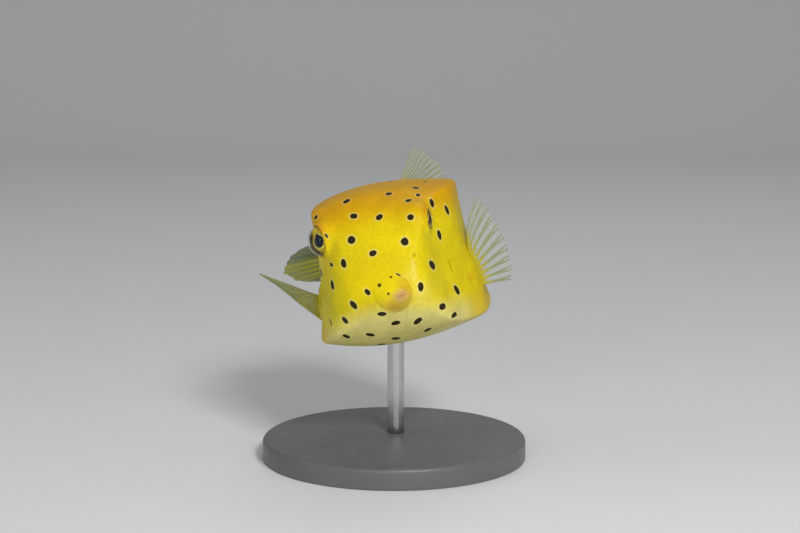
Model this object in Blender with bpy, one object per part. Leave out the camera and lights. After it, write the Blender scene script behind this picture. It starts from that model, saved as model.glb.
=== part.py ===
# Yellow boxfish (Ostracion cubicum), a life-size still model on a small display stand.
# The fish is shaped in its own frame in millimetres: +X is its left, -Y its snout, +Z its back.
# The last step banks and turns it, sets it over the stand and scales everything to metres.

import math

import bmesh
import bpy
import numpy as np
from mathutils import Matrix, Vector
from mathutils.bvhtree import BVHTree

MM = 0.001
GAP = 0.3  # clear space between neighbouring nodes

# Pose over the floor
BANK_DEG = 10.8  # left side raised
YAW_DEG = 6.5  # snout turned to the fish's right
BODY_HEIGHT = 38.0  # long axis above the floor

# Bony case: a box with four ridges that runs to a blunt pole at each end
SNOUT_POLE = 22.0
TAIL_POLE = -25.4
WIDEST = -3.0
NOSE_POWER = 3.0
RUMP_POWER = 2.5
DORSAL_HALF = 13.4
VENTRAL_HALF = 16.2
DORSAL_RIDGE = 12.3
VENTRAL_RIDGE = -12.4
CROWN_RISE = 1.9
CROWN_LEAN = 0.3  # share by which the crown is fuller on the fish's right
BELLY_SAG = 2.5
FLANK_HOLLOW = 0.9
TEMPLE_HOLLOW = 0.4  # further hollow of the flanks beside the eyes
RIDGE_BLUR = 0.0065  # share of the ring that rounds a ridge
HEAD_NARROWING = 0.12
HEAD_DRIFT = -1.2  # sideways set of the head, towards the fish's right
ROUND_HALF = 12.6  # half width of the round section near the poles
RUMP_CENTRE = 0.2  # height of the tail pole
FACE_SLOPE = 0.24  # how far the forehead leans back for each mm of height
CHIN_SLOPE = 0.24
RIM = -23.6  # rear end of the case
NECK = 3.4  # plane between head and torso

# Muzzle and mouth
MOUTH_SIDE = 3.6  # the soft snout is drawn to the fish's left
MOUTH_HEIGHT = -3.9
MUZZLE_OFFSET = (-1.7, 0.75)  # centre of the muzzle from the centre of the mouth
MUZZLE_REACH = 1.5
MUZZLE_RADIUS = 3.4
LIP_RADIUS = 1.05
LIP_SWELL = 0.35
LIP_WIDTH = 0.5
MOUTH_HALF = 0.95
MOUTH_DEPTH = 0.5
MOUTH_LINE = 0.26
LIP_EDGE = 1.75  # radius where the lips leave the muzzle
LIP_SEAT = 1.0  # depth of the seat that holds them

# Eyes
EYE_SIDE = {1.0: 6.9, -1.0: 9.93}
EYE_FORWARD = 12.4
EYE_HEIGHT = {1.0: 7.7, -1.0: 7.17}
EYE_RADIUS = 3.0
CORNEA_RISE = 0.3
CORNEA_SPREAD = 0.95
ORBIT_RADIUS = 3.65  # of the skin that wraps the eye
ORBIT_SINK = 0.45  # how far below that the skin around it is lifted
ORBIT_BLEND = 0.8  # reach of the soft foot of the orbit
ORBIT_YAW_DEG = {1.0: 98.0, -1.0: 60.0}  # of the socket's axis from straight ahead
APERTURE = {1.0: 2.95, -1.0: 3.28}  # radius of the opening between the lids
LID_REACH = 3.6  # from the centre of the eye to the lid ring
LID_TURN_DEG = {1.0: 57.0, -1.0: 68.0}  # of the lid ring from the socket's axis
LID_THICKNESS = 0.2

# Small openings of the head
NOSTRIL_SIDE = 6.4
NOSTRIL_FORWARD = {1.0: 19.5, -1.0: 18.5}
NOSTRIL_HEIGHT = 2.6
NOSTRIL_RADIUS = 0.42
GILL_FORWARD = 9.0
GILL_HEIGHT = -1.9
GILL_LENGTH = 2.8
GILL_WIDTH = 0.36
GILL_DEPTH = 0.8
GILL_ARCH = 1.6  # how far each end of the slit lies behind its middle, for each length squared
GILL_PLACE = {1.0: 3.42, -1.0: 1.58}  # around the case

# Fins
RAY_HALF = 0.24  # half width of a ray, as a share of the space between two rays
MEMBRANE = 0.5
RAY_THICKNESS = 0.86
TIP_THICKNESS = 0.2
FIN_ROWS = (0.0, 0.2, 0.42, 0.64, 0.84, 1.0)
PECTORAL_RAYS = 10
DORSAL_RAYS = 9
ANAL_RAYS = 9
CAUDAL_RAYS = 10
LOBE_AT = (0.6, -5.2)  # forward place and height of the pectoral root
LOBE_SWELL = 0.8
LOBE_SPREAD = 3.6

# Tail
PEDUNCLE_LENGTH = 10.0
PEDUNCLE_START = (2.9, 3.9)
PEDUNCLE_END = (1.3, 3.0)
TAIL_BEND_DEG = 88.0
TAIL_BEND_OVER = 9.0
TAIL_DROOP = 0.08  # fall of the tail for each mm of its length
CAUDAL_LENGTH = 20.5
CAUDAL_SPREAD_DEG = 6.0
CAUDAL_ROUNDING = 0.34

# Stand
BASE_RADIUS = 25.0
BASE_THICKNESS = 4.0
BASE_BEVEL = 0.8
ROD_RADIUS = 1.6
ROD_FORWARD = -3.0
ROD_SIDES = 20

# Mesh detail
RING_STEPS = 480
AROUND = 48
TORSO_RINGS = 18
HEAD_RINGS = 22
LIP_RINGS = 6
LIP_AROUND = 28
LIP_CENTRE = 0.3  # radius of the innermost ring of the lips

COLOURS = {
    "skin": ((0.72, 0.50, 0.01, 1.0), 0.32, 0.0),
    "lips": ((0.80, 0.42, 0.22, 1.0), 0.35, 0.0),
    "eye": ((0.02, 0.05, 0.06, 1.0), 0.08, 0.0),
    "fin": ((0.45, 0.46, 0.16, 1.0), 0.35, 0.0),
    "tail_fin": ((0.48, 0.50, 0.03, 1.0), 0.35, 0.0),
    "stand_base": ((0.55, 0.55, 0.54, 1.0), 0.5, 0.0),
    "stand_rod": ((0.56, 0.57, 0.58, 1.0), 0.3, 1.0),
}


def smooth_step(value, low, high):
    share = np.clip((value - low) / (high - low), 0.0, 1.0)
    return share * share * (3.0 - 2.0 * share)


def soft_rise(value, blend):
    """The value where it is above nought, easing to nothing below."""
    return blend * np.logaddexp(0.0, value / blend)


def material(name):
    colour, roughness, metallic = COLOURS[name]
    made = bpy.data.materials.new(name)
    made.use_nodes = True
    shader = made.node_tree.nodes["Principled BSDF"]
    shader.inputs["Base Color"].default_value = colour
    shader.inputs["Roughness"].default_value = roughness
    shader.inputs["Metallic"].default_value = metallic
    return made


def add_object(name, points, faces, look=None):
    mesh = bpy.data.meshes.new(name)
    mesh.from_pydata([tuple(p) for p in points], [], [tuple(f) for f in faces])
    mesh.validate()
    made = bpy.data.objects.new(name, mesh)
    bpy.context.scene.collection.objects.link(made)
    if look:
        mesh.materials.append(look)
    return made


# ---- the skin of the case -------------------------------------------------------------------


def blunt_profile(power, length, girth):
    """Distance along a superellipse quarter, with the reach and the girth there as shares."""
    turn = np.linspace(0.0, math.pi / 2, 900)
    reach = np.sin(turn) ** (2.0 / power)
    size = np.cos(turn) ** (2.0 / power)
    steps = np.hypot(np.diff(reach) * length, np.diff(size) * girth)
    return np.concatenate([[0.0], np.cumsum(steps)]), reach, size


NOSE = blunt_profile(NOSE_POWER, SNOUT_POLE - WIDEST, ROUND_HALF)
RUMP = blunt_profile(RUMP_POWER, WIDEST - TAIL_POLE, ROUND_HALF)
NOSE_END = NOSE[0][-1]


def station_at(forward):
    """Distance along the profile, from the widest section, of a place along the body."""
    if forward >= WIDEST:
        return float(np.interp((forward - WIDEST) / (SNOUT_POLE - WIDEST), NOSE[1], NOSE[0]))
    return -float(np.interp((WIDEST - forward) / (WIDEST - TAIL_POLE), RUMP[1], RUMP[0]))


def section(station):
    """Place along the body and girth, as a share of the widest, at a distance along the profile."""
    ahead = station >= 0
    nose_reach = np.interp(station, NOSE[0], NOSE[1])
    rump_reach = np.interp(-station, RUMP[0], RUMP[1])
    nose_size = np.interp(station, NOSE[0], NOSE[2])
    rump_size = np.interp(-station, RUMP[0], RUMP[2])
    forward = np.where(
        ahead,
        WIDEST + (SNOUT_POLE - WIDEST) * nose_reach,
        WIDEST - (WIDEST - TAIL_POLE) * rump_reach,
    )
    return forward, np.where(ahead, nose_size, rump_size), ahead


def box_ring(forward, steps):
    """One ring of the four-ridged box: crown, flanks and belly bow between the ridges."""
    turn = np.arange(steps) * 4.0 / steps
    side = np.floor(turn).astype(int)
    share = turn - side
    bow = 4.0 * share * (1.0 - share)
    forward = forward[:, None]
    narrow = 1.0 - HEAD_NARROWING * smooth_step(forward, 0.0, 15.0)
    top = DORSAL_HALF * narrow
    low = VENTRAL_HALF * narrow
    corners_x = np.concatenate([top, -top, -low, low, top], axis=1)
    corners_z = np.array([DORSAL_RIDGE, DORSAL_RIDGE, VENTRAL_RIDGE, VENTRAL_RIDGE, DORSAL_RIDGE])
    x = corners_x[:, side] * (1.0 - share) + corners_x[:, side + 1] * share
    z = corners_z[side] * (1.0 - share) + corners_z[side + 1] * share
    hollow = FLANK_HOLLOW + TEMPLE_HOLLOW * smooth_step(forward, 3.0, 13.0)
    x = x + bow * hollow * ((side == 1) * 1.0 - (side == 3) * 1.0)
    lean = 1.0 + CROWN_LEAN * (2.0 * share - 1.0)
    z = z + bow * (CROWN_RISE * lean * (side == 0) - BELLY_SAG * (side == 2))
    return x, z


def blur_ring(values):
    """Each ring softened along itself, which rounds the ridges."""
    waves = np.fft.rfftfreq(values.shape[-1], 1.0 / values.shape[-1])
    soft = np.exp(-0.5 * (2.0 * math.pi * RIDGE_BLUR * waves) ** 2)
    return np.fft.irfft(np.fft.rfft(values) * soft, n=values.shape[-1])


def skin_rings(stations):
    """The skin as rings of points, one for each distance along the profile."""
    forward, size, ahead = section(np.asarray(stations, float))
    box_x, box_z = box_ring(forward, RING_STEPS)
    turn = math.pi / 4 + 2.0 * math.pi * np.arange(RING_STEPS) / RING_STEPS
    nose_round = 1.0 - smooth_step(size, 0.25, 0.85)
    rump_round = 0.8 * (1.0 - smooth_step(size, 0.35, 0.9))
    round_share = np.where(ahead, nose_round, rump_round)[:, None]
    x = blur_ring(box_x) * (1.0 - round_share) + ROUND_HALF * np.cos(turn) * round_share
    z = blur_ring(box_z) * (1.0 - round_share) + ROUND_HALF * np.sin(turn) * round_share
    size = size[:, None]
    pole_x = np.where(ahead, MOUTH_SIDE, 0.0)[:, None]
    pole_z = np.where(ahead, MOUTH_HEIGHT, RUMP_CENTRE)[:, None]
    drift = HEAD_DRIFT * smooth_step(forward, 1.0, 13.0)[:, None]
    x = (x + drift) * size + pole_x * (1.0 - size)
    z = z * size + pole_z * (1.0 - size)
    lean = smooth_step(forward, 2.0, 21.0)[:, None]
    above = np.sqrt((z - MOUTH_HEIGHT) ** 2 + 1.0) - 1.0
    slope = np.where(z > MOUTH_HEIGHT, FACE_SLOPE, CHIN_SLOPE)
    y = -(forward[:, None] - lean * slope * above)
    return swell(np.stack([x, y, z], axis=-1), ahead)


def swell(points, ahead):
    """The small forms of the skin: muzzle, lips, the line of the mouth, orbits and fin roots."""
    x, y, z = points[..., 0], points[..., 1], points[..., 2]
    front = ahead[:, None] * smooth_step(-y, 6.0, 14.0)
    off = np.hypot(x - MOUTH_SIDE - MUZZLE_OFFSET[0], z - MOUTH_HEIGHT - MUZZLE_OFFSET[1])
    muzzle = MUZZLE_REACH * np.exp(-((off / MUZZLE_RADIUS) ** 4))
    away = np.hypot(x - MOUTH_SIDE, z - MOUTH_HEIGHT)
    lips = LIP_SWELL * np.exp(-(((away - LIP_RADIUS) / LIP_WIDTH) ** 2))
    across = np.exp(-(((x - MOUTH_SIDE) / MOUTH_HALF) ** 4))
    slit = MOUTH_DEPTH * across * np.exp(-(((z - MOUTH_HEIGHT) / MOUTH_LINE) ** 2))
    y = y - front * (muzzle + lips - slit)
    for side in (1.0, -1.0):
        eye_x, eye_y, eye_z = eye_centre(side)
        distance = np.sqrt((x - eye_x) ** 2 + (y - eye_y) ** 2 + (z - eye_z) ** 2)
        lift = 1.0 + soft_rise(ORBIT_RADIUS - ORBIT_SINK - distance, ORBIT_BLEND) / distance
        x = eye_x + (x - eye_x) * lift
        y = eye_y + (y - eye_y) * lift
        z = eye_z + (z - eye_z) * lift
        root = np.hypot(y + LOBE_AT[0], z - LOBE_AT[1])
        flank = smooth_step(side * x, 6.0, 10.0)
        x = x + side * flank * LOBE_SWELL * np.exp(-((root / LOBE_SPREAD) ** 4))
    return np.stack([x, y, z], axis=-1)


def ring_places(count):
    """Places around a ring, closer together at the ridges."""
    turn = np.arange(count) * 4.0 / count
    return (turn - 0.55 * np.sin(2.0 * math.pi * turn) / (2.0 * math.pi)) % 4.0


def pick(rings, places):
    """The points of each ring at the given places around it."""
    steps = rings.shape[1]
    spot = np.asarray(places) * steps / 4.0
    low = np.floor(spot).astype(int) % steps
    share = (spot - np.floor(spot))[None, :, None]
    return rings[:, low] * (1.0 - share) + rings[:, (low + 1) % steps] * share


def skin_point(forward, place):
    """A point of the skin and the direction that leaves it, at a place along and around."""
    here = station_at(forward)
    near = skin_rings([here - 0.05, here, here + 0.05])
    spots = pick(near, [place - 0.02, place, place + 0.02])
    along = spots[2, 1] - spots[0, 1]
    around = spots[1, 2] - spots[1, 0]
    out = np.cross(around, along)
    out = out / np.linalg.norm(out)
    point = spots[1, 1]
    centre = np.array([0.0, point[1], 0.0])
    return point, out if np.dot(out, point - centre) > 0 else -out


def tube(name, rings, look=None):
    """A closed body over rings of points, with a fan at each end."""
    count, around = rings.shape[:2]
    points = np.concatenate([rings.reshape(-1, 3), [rings[0].mean(0)], [rings[-1].mean(0)]])
    faces = []
    for i in range(count - 1):
        for j in range(around):
            k = (j + 1) % around
            faces.append((i * around + j, i * around + k, (i + 1) * around + k, (i + 1) * around + j))
    first, last = count * around, count * around + 1
    for j in range(around):
        k = (j + 1) % around
        faces.append((first, k, j))
        faces.append((last, (count - 1) * around + j, (count - 1) * around + k))
    made = add_object(name, points, faces, look)
    face_out(made)
    return made


def face_out(target):
    work = bmesh.new()
    work.from_mesh(target.data)
    bmesh.ops.recalc_face_normals(work, faces=work.faces)
    if work.calc_volume(signed=True) < 0:
        bmesh.ops.reverse_faces(work, faces=work.faces)
    work.to_mesh(target.data)
    work.free()


def bake(target):
    graph = bpy.context.evaluated_depsgraph_get()
    mesh = bpy.data.meshes.new_from_object(target.evaluated_get(graph))
    target.modifiers.clear()
    target.data = mesh


def combine(target, others, operation):
    """One Boolean of the target with closed pieces, applied, keeping the largest closed body."""
    group = bpy.data.collections.new(target.name + "_pieces")
    bpy.context.scene.collection.children.link(group)
    for piece in others:
        piece.hide_render = True
        piece.display_type = "WIRE"
        group.objects.link(piece)
    change = target.modifiers.new("combine", "BOOLEAN")
    change.operation = operation
    change.operand_type = "COLLECTION"
    change.collection = group
    change.solver = "EXACT"
    bake(target)
    for piece in others:
        bpy.data.objects.remove(piece, do_unlink=True)
    bpy.data.collections.remove(group)
    keep_largest(target)


def keep_largest(target):
    work = bmesh.new()
    work.from_mesh(target.data)
    left = set(work.verts)
    bodies = []
    while left:
        body = {left.pop()}
        edge = list(body)
        while edge:
            near = [e.other_vert(v) for v in edge for e in v.link_edges]
            edge = [v for v in set(near) if v in left]
            left.difference_update(edge)
            body.update(edge)
        bodies.append(body)
    bodies.sort(key=len)
    for body in bodies[:-1]:
        bmesh.ops.delete(work, geom=list(body), context="VERTS")
    bmesh.ops.triangulate(work, faces=work.faces)
    work.to_mesh(target.data)
    work.free()


# ---- the parts of the body ------------------------------------------------------------------


def mouth_station():
    """Distance along the profile where the rings are as wide as the lips."""
    return float(np.interp(-LIP_EDGE / ROUND_HALF, -NOSE[2], NOSE[0]))


def torso(look):
    stations = np.linspace(station_at(RIM), station_at(NECK - GAP / 2), TORSO_RINGS)
    return tube("torso", pick(skin_rings(stations), ring_places(AROUND)), look)


def head(look):
    stations = np.linspace(station_at(NECK + GAP / 2), mouth_station(), HEAD_RINGS)
    rings = pick(skin_rings(stations), ring_places(AROUND))
    seat = rings[-1:] + np.array([0.0, LIP_SEAT, 0.0])
    made = tube("head", np.concatenate([rings, seat]), look)
    combine(made, [orbit(side) for side in (1.0, -1.0)], "UNION")
    combine(made, [aperture(side) for side in (1.0, -1.0)], "DIFFERENCE")
    combine(made, [lid_ring(side) for side in (1.0, -1.0)], "UNION")
    cutters = [socket(side) for side in (1.0, -1.0)]
    cutters += [nostril(side) for side in (1.0, -1.0)]
    cutters += [gill_slit(side) for side in (1.0, -1.0)]
    combine(made, cutters, "DIFFERENCE")
    return made


def lips(look):
    stations = np.linspace(mouth_station() + GAP, NOSE_END - LIP_CENTRE, LIP_RINGS)
    rings = pick(skin_rings(stations), np.arange(LIP_AROUND) * 4.0 / LIP_AROUND)
    root = rings[:1] + np.array([0.0, LIP_SEAT - GAP, 0.0])
    return tube("lips", np.concatenate([root, rings]), look)


def eye_centre(side):
    return np.array([side * EYE_SIDE[side], -EYE_FORWARD, EYE_HEIGHT[side]])


def heading(side, yaw_deg):
    """A level direction so many degrees from straight ahead, on one side of the fish."""
    yaw = math.radians(yaw_deg)
    return np.array([side * math.sin(yaw), -math.cos(yaw), 0.0])


def axes_about(axis):
    up = np.array([0.0, 0.0, 1.0])
    across = np.cross(up, axis)
    across = across / np.linalg.norm(across)
    return across, np.cross(axis, across)


def ball(name, centre, axis, radius, rise=0.0, rings=12, around=20, look=None):
    """A globe about an axis, whose front swells by the rise of the cornea."""
    across, over = axes_about(axis)
    polar = np.linspace(0.12, math.pi - 0.12, rings)[:, None]
    turn = (np.arange(around) * 2.0 * math.pi / around)[None, :]
    reach = radius + rise * np.exp(-((polar / CORNEA_SPREAD) ** 4))
    flat = (reach * np.sin(polar))[..., None]
    points = (
        centre
        + (reach * np.cos(polar))[..., None] * axis
        + flat * np.cos(turn)[..., None] * across
        + flat * np.sin(turn)[..., None] * over
    )
    made = tube(name, points, look)
    cap = points.shape[0] * points.shape[1]
    made.data.vertices[cap].co = Vector(centre + axis * (radius + rise))
    made.data.vertices[cap + 1].co = Vector(centre - axis * radius)
    return made


def eye(name, side, look):
    return ball(name, eye_centre(side), heading(side, ORBIT_YAW_DEG[side]), EYE_RADIUS,
                CORNEA_RISE, 13, 24, look)


def orbit(side):
    return ball("orbit", eye_centre(side), heading(side, ORBIT_YAW_DEG[side]), ORBIT_RADIUS,
                0.0, 14, 30)


def socket(side):
    return ball("socket", eye_centre(side), heading(side, ORBIT_YAW_DEG[side]),
                EYE_RADIUS + GAP, CORNEA_RISE, 14, 26)


def aperture(side):
    """The round opening between the lids, along the socket's axis."""
    axis = heading(side, ORBIT_YAW_DEG[side])
    across, over = axes_about(axis)
    turn = (np.arange(26) * 2.0 * math.pi / 26)[:, None]
    circle = APERTURE[side] * (np.cos(turn) * across + np.sin(turn) * over)
    centre = eye_centre(side)
    return tube("aperture", np.array([centre + circle, centre + circle + axis * 6.0]))


def lid_ring(side):
    """The fold of skin that rings the eye."""
    axis = heading(side, ORBIT_YAW_DEG[side])
    across, over = axes_about(axis)
    lid_turn = math.radians(LID_TURN_DEG[side])
    centre = eye_centre(side) + axis * LID_REACH * math.cos(lid_turn)
    turn = (np.arange(28) * 2.0 * math.pi / 28)[:, None, None]
    roll = (np.arange(8) * 2.0 * math.pi / 8)[None, :, None]
    reach = LID_REACH * math.sin(lid_turn) + LID_THICKNESS * np.cos(roll)
    points = centre + reach * (np.cos(turn) * across + np.sin(turn) * over)
    points = points + LID_THICKNESS * np.sin(roll) * axis
    faces = []
    for i in range(28):
        for j in range(8):
            a, b = (i + 1) % 28, (j + 1) % 8
            faces.append((i * 8 + j, a * 8 + j, a * 8 + b, i * 8 + b))
    made = add_object("lid", points.reshape(-1, 3), faces)
    face_out(made)
    return made


def nostril(side):
    centre = np.array([side * NOSTRIL_SIDE, -NOSTRIL_FORWARD[side], NOSTRIL_HEIGHT])
    return ball("nostril", centre, heading(side, 40.0), NOSTRIL_RADIUS, 0.0, 6, 10)


def gill_slit(side):
    """A thin curved blade that leaves the short gill opening in the flank."""
    point, _ = skin_point(GILL_FORWARD, GILL_PLACE[side])
    down = np.linspace(-0.5, 0.5, 7)
    middle = np.array([point[0], -GILL_FORWARD, GILL_HEIGHT])
    spine = middle + np.stack([down * 0.0, GILL_ARCH * down**2, down * GILL_LENGTH], axis=1)
    rings = []
    for at, spot in zip(down, spine):
        half = GILL_WIDTH / 2 * (1.0 - (2.0 * abs(at)) ** 3 * 0.6)
        rings.append([
            spot + np.array([side * 2.5, half, 0.0]),
            spot + np.array([side * 2.5, -half, 0.0]),
            spot + np.array([-side * GILL_DEPTH, -half, 0.0]),
            spot + np.array([-side * GILL_DEPTH, half, 0.0]),
        ])
    return tube("gill", np.array(rings))


# ---- tail and fins --------------------------------------------------------------------------


def tail_path(distance):
    """Place and direction along the tail's midline, which curls to the fish's right."""
    fine = np.linspace(0.0, 40.0, 801)
    turn = math.radians(TAIL_BEND_DEG) * smooth_step(fine, 0.0, TAIL_BEND_OVER)
    step = fine[1] - fine[0]
    x = -np.cumsum(np.sin(turn)) * step
    y = -RIM + GAP + np.cumsum(np.cos(turn)) * step
    shape = np.shape(distance)
    distance = np.ravel(distance)
    place = np.stack([np.interp(distance, fine, x), np.interp(distance, fine, y),
                      RUMP_CENTRE - TAIL_DROOP * distance], axis=-1)
    angle = np.interp(distance, fine, turn)
    side = np.stack([np.cos(angle), np.sin(angle), np.zeros_like(angle)], axis=-1)
    return place.reshape(*shape, 3), side.reshape(*shape, 3)


def peduncle(look):
    """The bare root of the tail, an upright oval that flattens towards the fin."""
    share = np.linspace(0.0, 1.0, 9)
    place, side = tail_path(share * PEDUNCLE_LENGTH)
    wide = PEDUNCLE_START[0] + (PEDUNCLE_END[0] - PEDUNCLE_START[0]) * share**0.8
    tall = PEDUNCLE_START[1] + (PEDUNCLE_END[1] - PEDUNCLE_START[1]) * np.sin(share * math.pi / 2)
    turn = np.arange(24) * 2.0 * math.pi / 24
    up = np.array([0.0, 0.0, 1.0])
    rings = (
        place[:, None]
        + (wide[:, None] * np.cos(turn))[..., None] * side[:, None]
        + (tall[:, None] * np.sin(turn))[..., None] * up
    )
    return tube("tail_peduncle", rings, look)


def fin(name, rays, surface, look):
    """A fin as one thin closed sheet whose rays stand up as ridges on both of its faces."""
    columns, raised = [], []
    for ray in range(rays):
        columns += [ray - RAY_HALF, float(ray), ray + RAY_HALF]
        raised += [0.0, 1.0, 0.0]
    columns = np.array(columns)[None, :]
    raised = np.array(raised)[None, :]
    rows = np.array(FIN_ROWS)[:, None]
    share = columns / (rays - 1)
    middle = surface(share, rows)
    small = 1e-3
    along = surface(share, rows + small) - surface(share, rows - small)
    across = surface(share + small, rows) - surface(share - small, rows)
    out = np.cross(across, along)
    out = out / np.linalg.norm(out, axis=-1, keepdims=True)
    taper = 1.0 - smooth_step(rows, 0.55, 1.0)
    thick = TIP_THICKNESS + taper * (MEMBRANE - TIP_THICKNESS + raised * (RAY_THICKNESS - MEMBRANE))
    half = (thick / 2.0)[..., None]
    height, width = middle.shape[:2]
    points = np.concatenate([(middle + out * half).reshape(-1, 3), (middle - out * half).reshape(-1, 3)])
    back = height * width
    faces = []
    for i in range(height - 1):
        for j in range(width - 1):
            a, b, c, d = i * width + j, i * width + j + 1, (i + 1) * width + j + 1, (i + 1) * width + j
            faces += [(a, b, c), (a, c, d), (back + a, back + c, back + b), (back + a, back + d, back + c)]
    rim = [j for j in range(width)]
    rim += [i * width + width - 1 for i in range(1, height)]
    rim += [(height - 1) * width + j for j in range(width - 2, -1, -1)]
    rim += [i * width for i in range(height - 2, 0, -1)]
    for here, after in zip(rim, rim[1:] + rim[:1]):
        faces += [(here, back + here, back + after), (here, back + after, after)]
    made = add_object(name, points, faces, look)
    face_out(made)
    return made


def root_line(first, last, count=9):
    """Places on the skin between two (forward, place around) ends, a gap clear of it."""
    found = []
    for share in np.linspace(-0.06, 1.06, count):
        forward = first[0] + (last[0] - first[0]) * share
        place = first[1] + (last[1] - first[1]) * share
        point, out = skin_point(forward, place)
        found.append(point + out * (GAP + 0.12))
    return np.array(found)


def on_line(line, share):
    """Points along a line of points, smooth enough for the root of a fin."""
    marks = np.linspace(-0.06, 1.06, len(line))
    share = np.clip(share, -0.06, 1.06)
    return np.stack([np.interp(share, marks, line[:, k]) for k in range(3)], axis=-1)


def fan(line, leading, trailing, lengths, leading_curl, trailing_curl):
    """A fan of rays from a root line: directions turn from the leading to the trailing one."""
    leading = np.array(leading) / np.linalg.norm(leading)
    trailing = np.array(trailing) / np.linalg.norm(trailing)

    def surface(share, row):
        share, row = np.broadcast_arrays(share, row)
        turn = share[..., None]
        aim = leading * (1.0 - turn) + trailing * turn
        aim = aim / np.linalg.norm(aim, axis=-1, keepdims=True)
        first, middle, last = lengths
        reach = first * (1 - share) + last * share + (middle - (first + last) / 2) * 4 * share * (1 - share)
        curl = np.array(leading_curl) * (1.0 - turn) + np.array(trailing_curl) * turn
        bend = curl * (row**2)[..., None]
        return on_line(line, share) + reach[..., None] * (aim * row[..., None] + bend)

    return surface


def left_pectoral(look):
    line = root_line((-0.6, 3.55), (0.2, 3.205))
    return fin("pectoral_fin_left", PECTORAL_RAYS,
               fan(line, (0.13, 0.39, 0.91), (0.60, 0.79, -0.08), (8.3, 7.9, 7.4),
                   (0.26, 0.0, -0.05), (0.0, 0.10, -0.02)),
               look)


def right_pectoral(look):
    line = root_line((-0.6, 1.68), (0.2, 1.85))
    return fin("pectoral_fin_right", PECTORAL_RAYS,
               fan(line, (-0.86, -0.10, 0.50), (-0.694, 0.315, 0.645), (11.5, 11.9, 11.1),
                   (0.0, 0.04, 0.02), (0.0, 0.04, 0.02)),
               look)


def dorsal_fin(look):
    line = root_line((-17.6, 0.43), (-21.8, 0.41))
    return fin("dorsal_fin", DORSAL_RAYS,
               fan(line, (0.42, 0.33, 0.85), (0.91, 0.26, 0.30), (7.6, 8.5, 9.2),
                   (0.03, 0.04, -0.02), (0.03, 0.04, -0.02)),
               look)


def anal_fin(look):
    line = root_line((-15.4, 2.5), (-20.4, 2.5))
    return fin("anal_fin", ANAL_RAYS,
               fan(line, (-0.10, 0.80, -0.60), (-0.30, 0.94, 0.05), (8.6, 9.8, 8.2),
                   (-0.06, 0.05, 0.0), (-0.06, 0.05, 0.0)),
               look)


def caudal_fin(look):
    """The tail fin, half closed, on the curl of the tail."""
    def surface(share, row):
        share, row = np.broadcast_arrays(share, row)
        spread = math.radians(CAUDAL_SPREAD_DEG) * (1.0 - 2.0 * share)
        length = CAUDAL_LENGTH * (1.0 - CAUDAL_ROUNDING * (1.0 - 2.0 * share) ** 2)
        reach = length * row
        place, _ = tail_path(PEDUNCLE_LENGTH + GAP + reach * np.cos(spread))
        height = (PEDUNCLE_END[1] - 0.4) * (1.0 - 2.0 * share) + reach * np.sin(spread)
        return place + height[..., None] * np.array([0.0, 0.0, 1.0])

    return fin("caudal_fin", CAUDAL_RAYS, surface, look)


# ---- pose and stand -------------------------------------------------------------------------


def pose_fish(parts):
    bank = Matrix.Rotation(-math.radians(BANK_DEG), 4, "Y")
    yaw = Matrix.Rotation(-math.radians(YAW_DEG), 4, "Z")
    place = Matrix.Translation((0.0, 0.0, BODY_HEIGHT)) @ yaw @ bank
    for part in parts:
        part.data.transform(place)


def stand_base(look):
    """A flat round base with a bevelled rim, its underside on the floor."""
    turn = np.arange(64) * 2.0 * math.pi / 64
    circle = np.stack([np.cos(turn), np.sin(turn), np.zeros(64)], axis=-1)
    up = np.array([0.0, 0.0, 1.0])
    inner = BASE_RADIUS - BASE_BEVEL
    sizes = ((BASE_RADIUS, 0.0), (BASE_RADIUS, BASE_THICKNESS - BASE_BEVEL), (inner, BASE_THICKNESS))
    rings = np.array([circle * radius + up * height for radius, height in sizes])
    made = tube("stand_base", rings, look)
    return made


def stand_rod(look, body):
    """A short upright rod whose head follows the belly a gap below it."""
    work = bmesh.new()
    work.from_mesh(body.data)
    tree = BVHTree.FromBMesh(work)
    yaw = math.radians(YAW_DEG)
    centre = np.array([ROD_FORWARD * -math.sin(yaw), ROD_FORWARD * -math.cos(yaw), 0.0])
    turn = np.arange(ROD_SIDES) * 2.0 * math.pi / ROD_SIDES
    circle = centre + ROD_RADIUS * np.stack([np.cos(turn), np.sin(turn), np.zeros(ROD_SIDES)], axis=-1)
    tops = [tree.ray_cast(Vector((p[0], p[1], BASE_THICKNESS)), Vector((0.0, 0.0, 1.0)))[0].z
            for p in circle]
    work.free()
    low = circle.copy()
    low[:, 2] = BASE_THICKNESS + GAP
    high = circle.copy()
    high[:, 2] = np.array(tops) - GAP - 0.1
    return tube("stand_rod", np.array([low, high]), look)


def finish(parts):
    for part in parts:
        part.data.transform(Matrix.Scale(MM, 4))
        part.data.validate()
        for face in part.data.polygons:
            face.use_smooth = not part.name.startswith("stand_base")


def main():
    for old in list(bpy.data.objects):
        bpy.data.objects.remove(old, do_unlink=True)
    looks = {name: material(name) for name in COLOURS}
    body = torso(looks["skin"])
    fish = [
        body,
        head(looks["skin"]),
        lips(looks["lips"]),
        eye("eye_left", 1.0, looks["eye"]),
        eye("eye_right", -1.0, looks["eye"]),
        peduncle(looks["skin"]),
        caudal_fin(looks["tail_fin"]),
        dorsal_fin(looks["fin"]),
        anal_fin(looks["fin"]),
        left_pectoral(looks["fin"]),
        right_pectoral(looks["fin"]),
    ]
    pose_fish(fish)
    stand = [stand_base(looks["stand_base"]), stand_rod(looks["stand_rod"], body)]
    finish(fish + stand)


main()
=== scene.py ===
import math

import bpy
import numpy as np
from mathutils import Matrix, Vector


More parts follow.
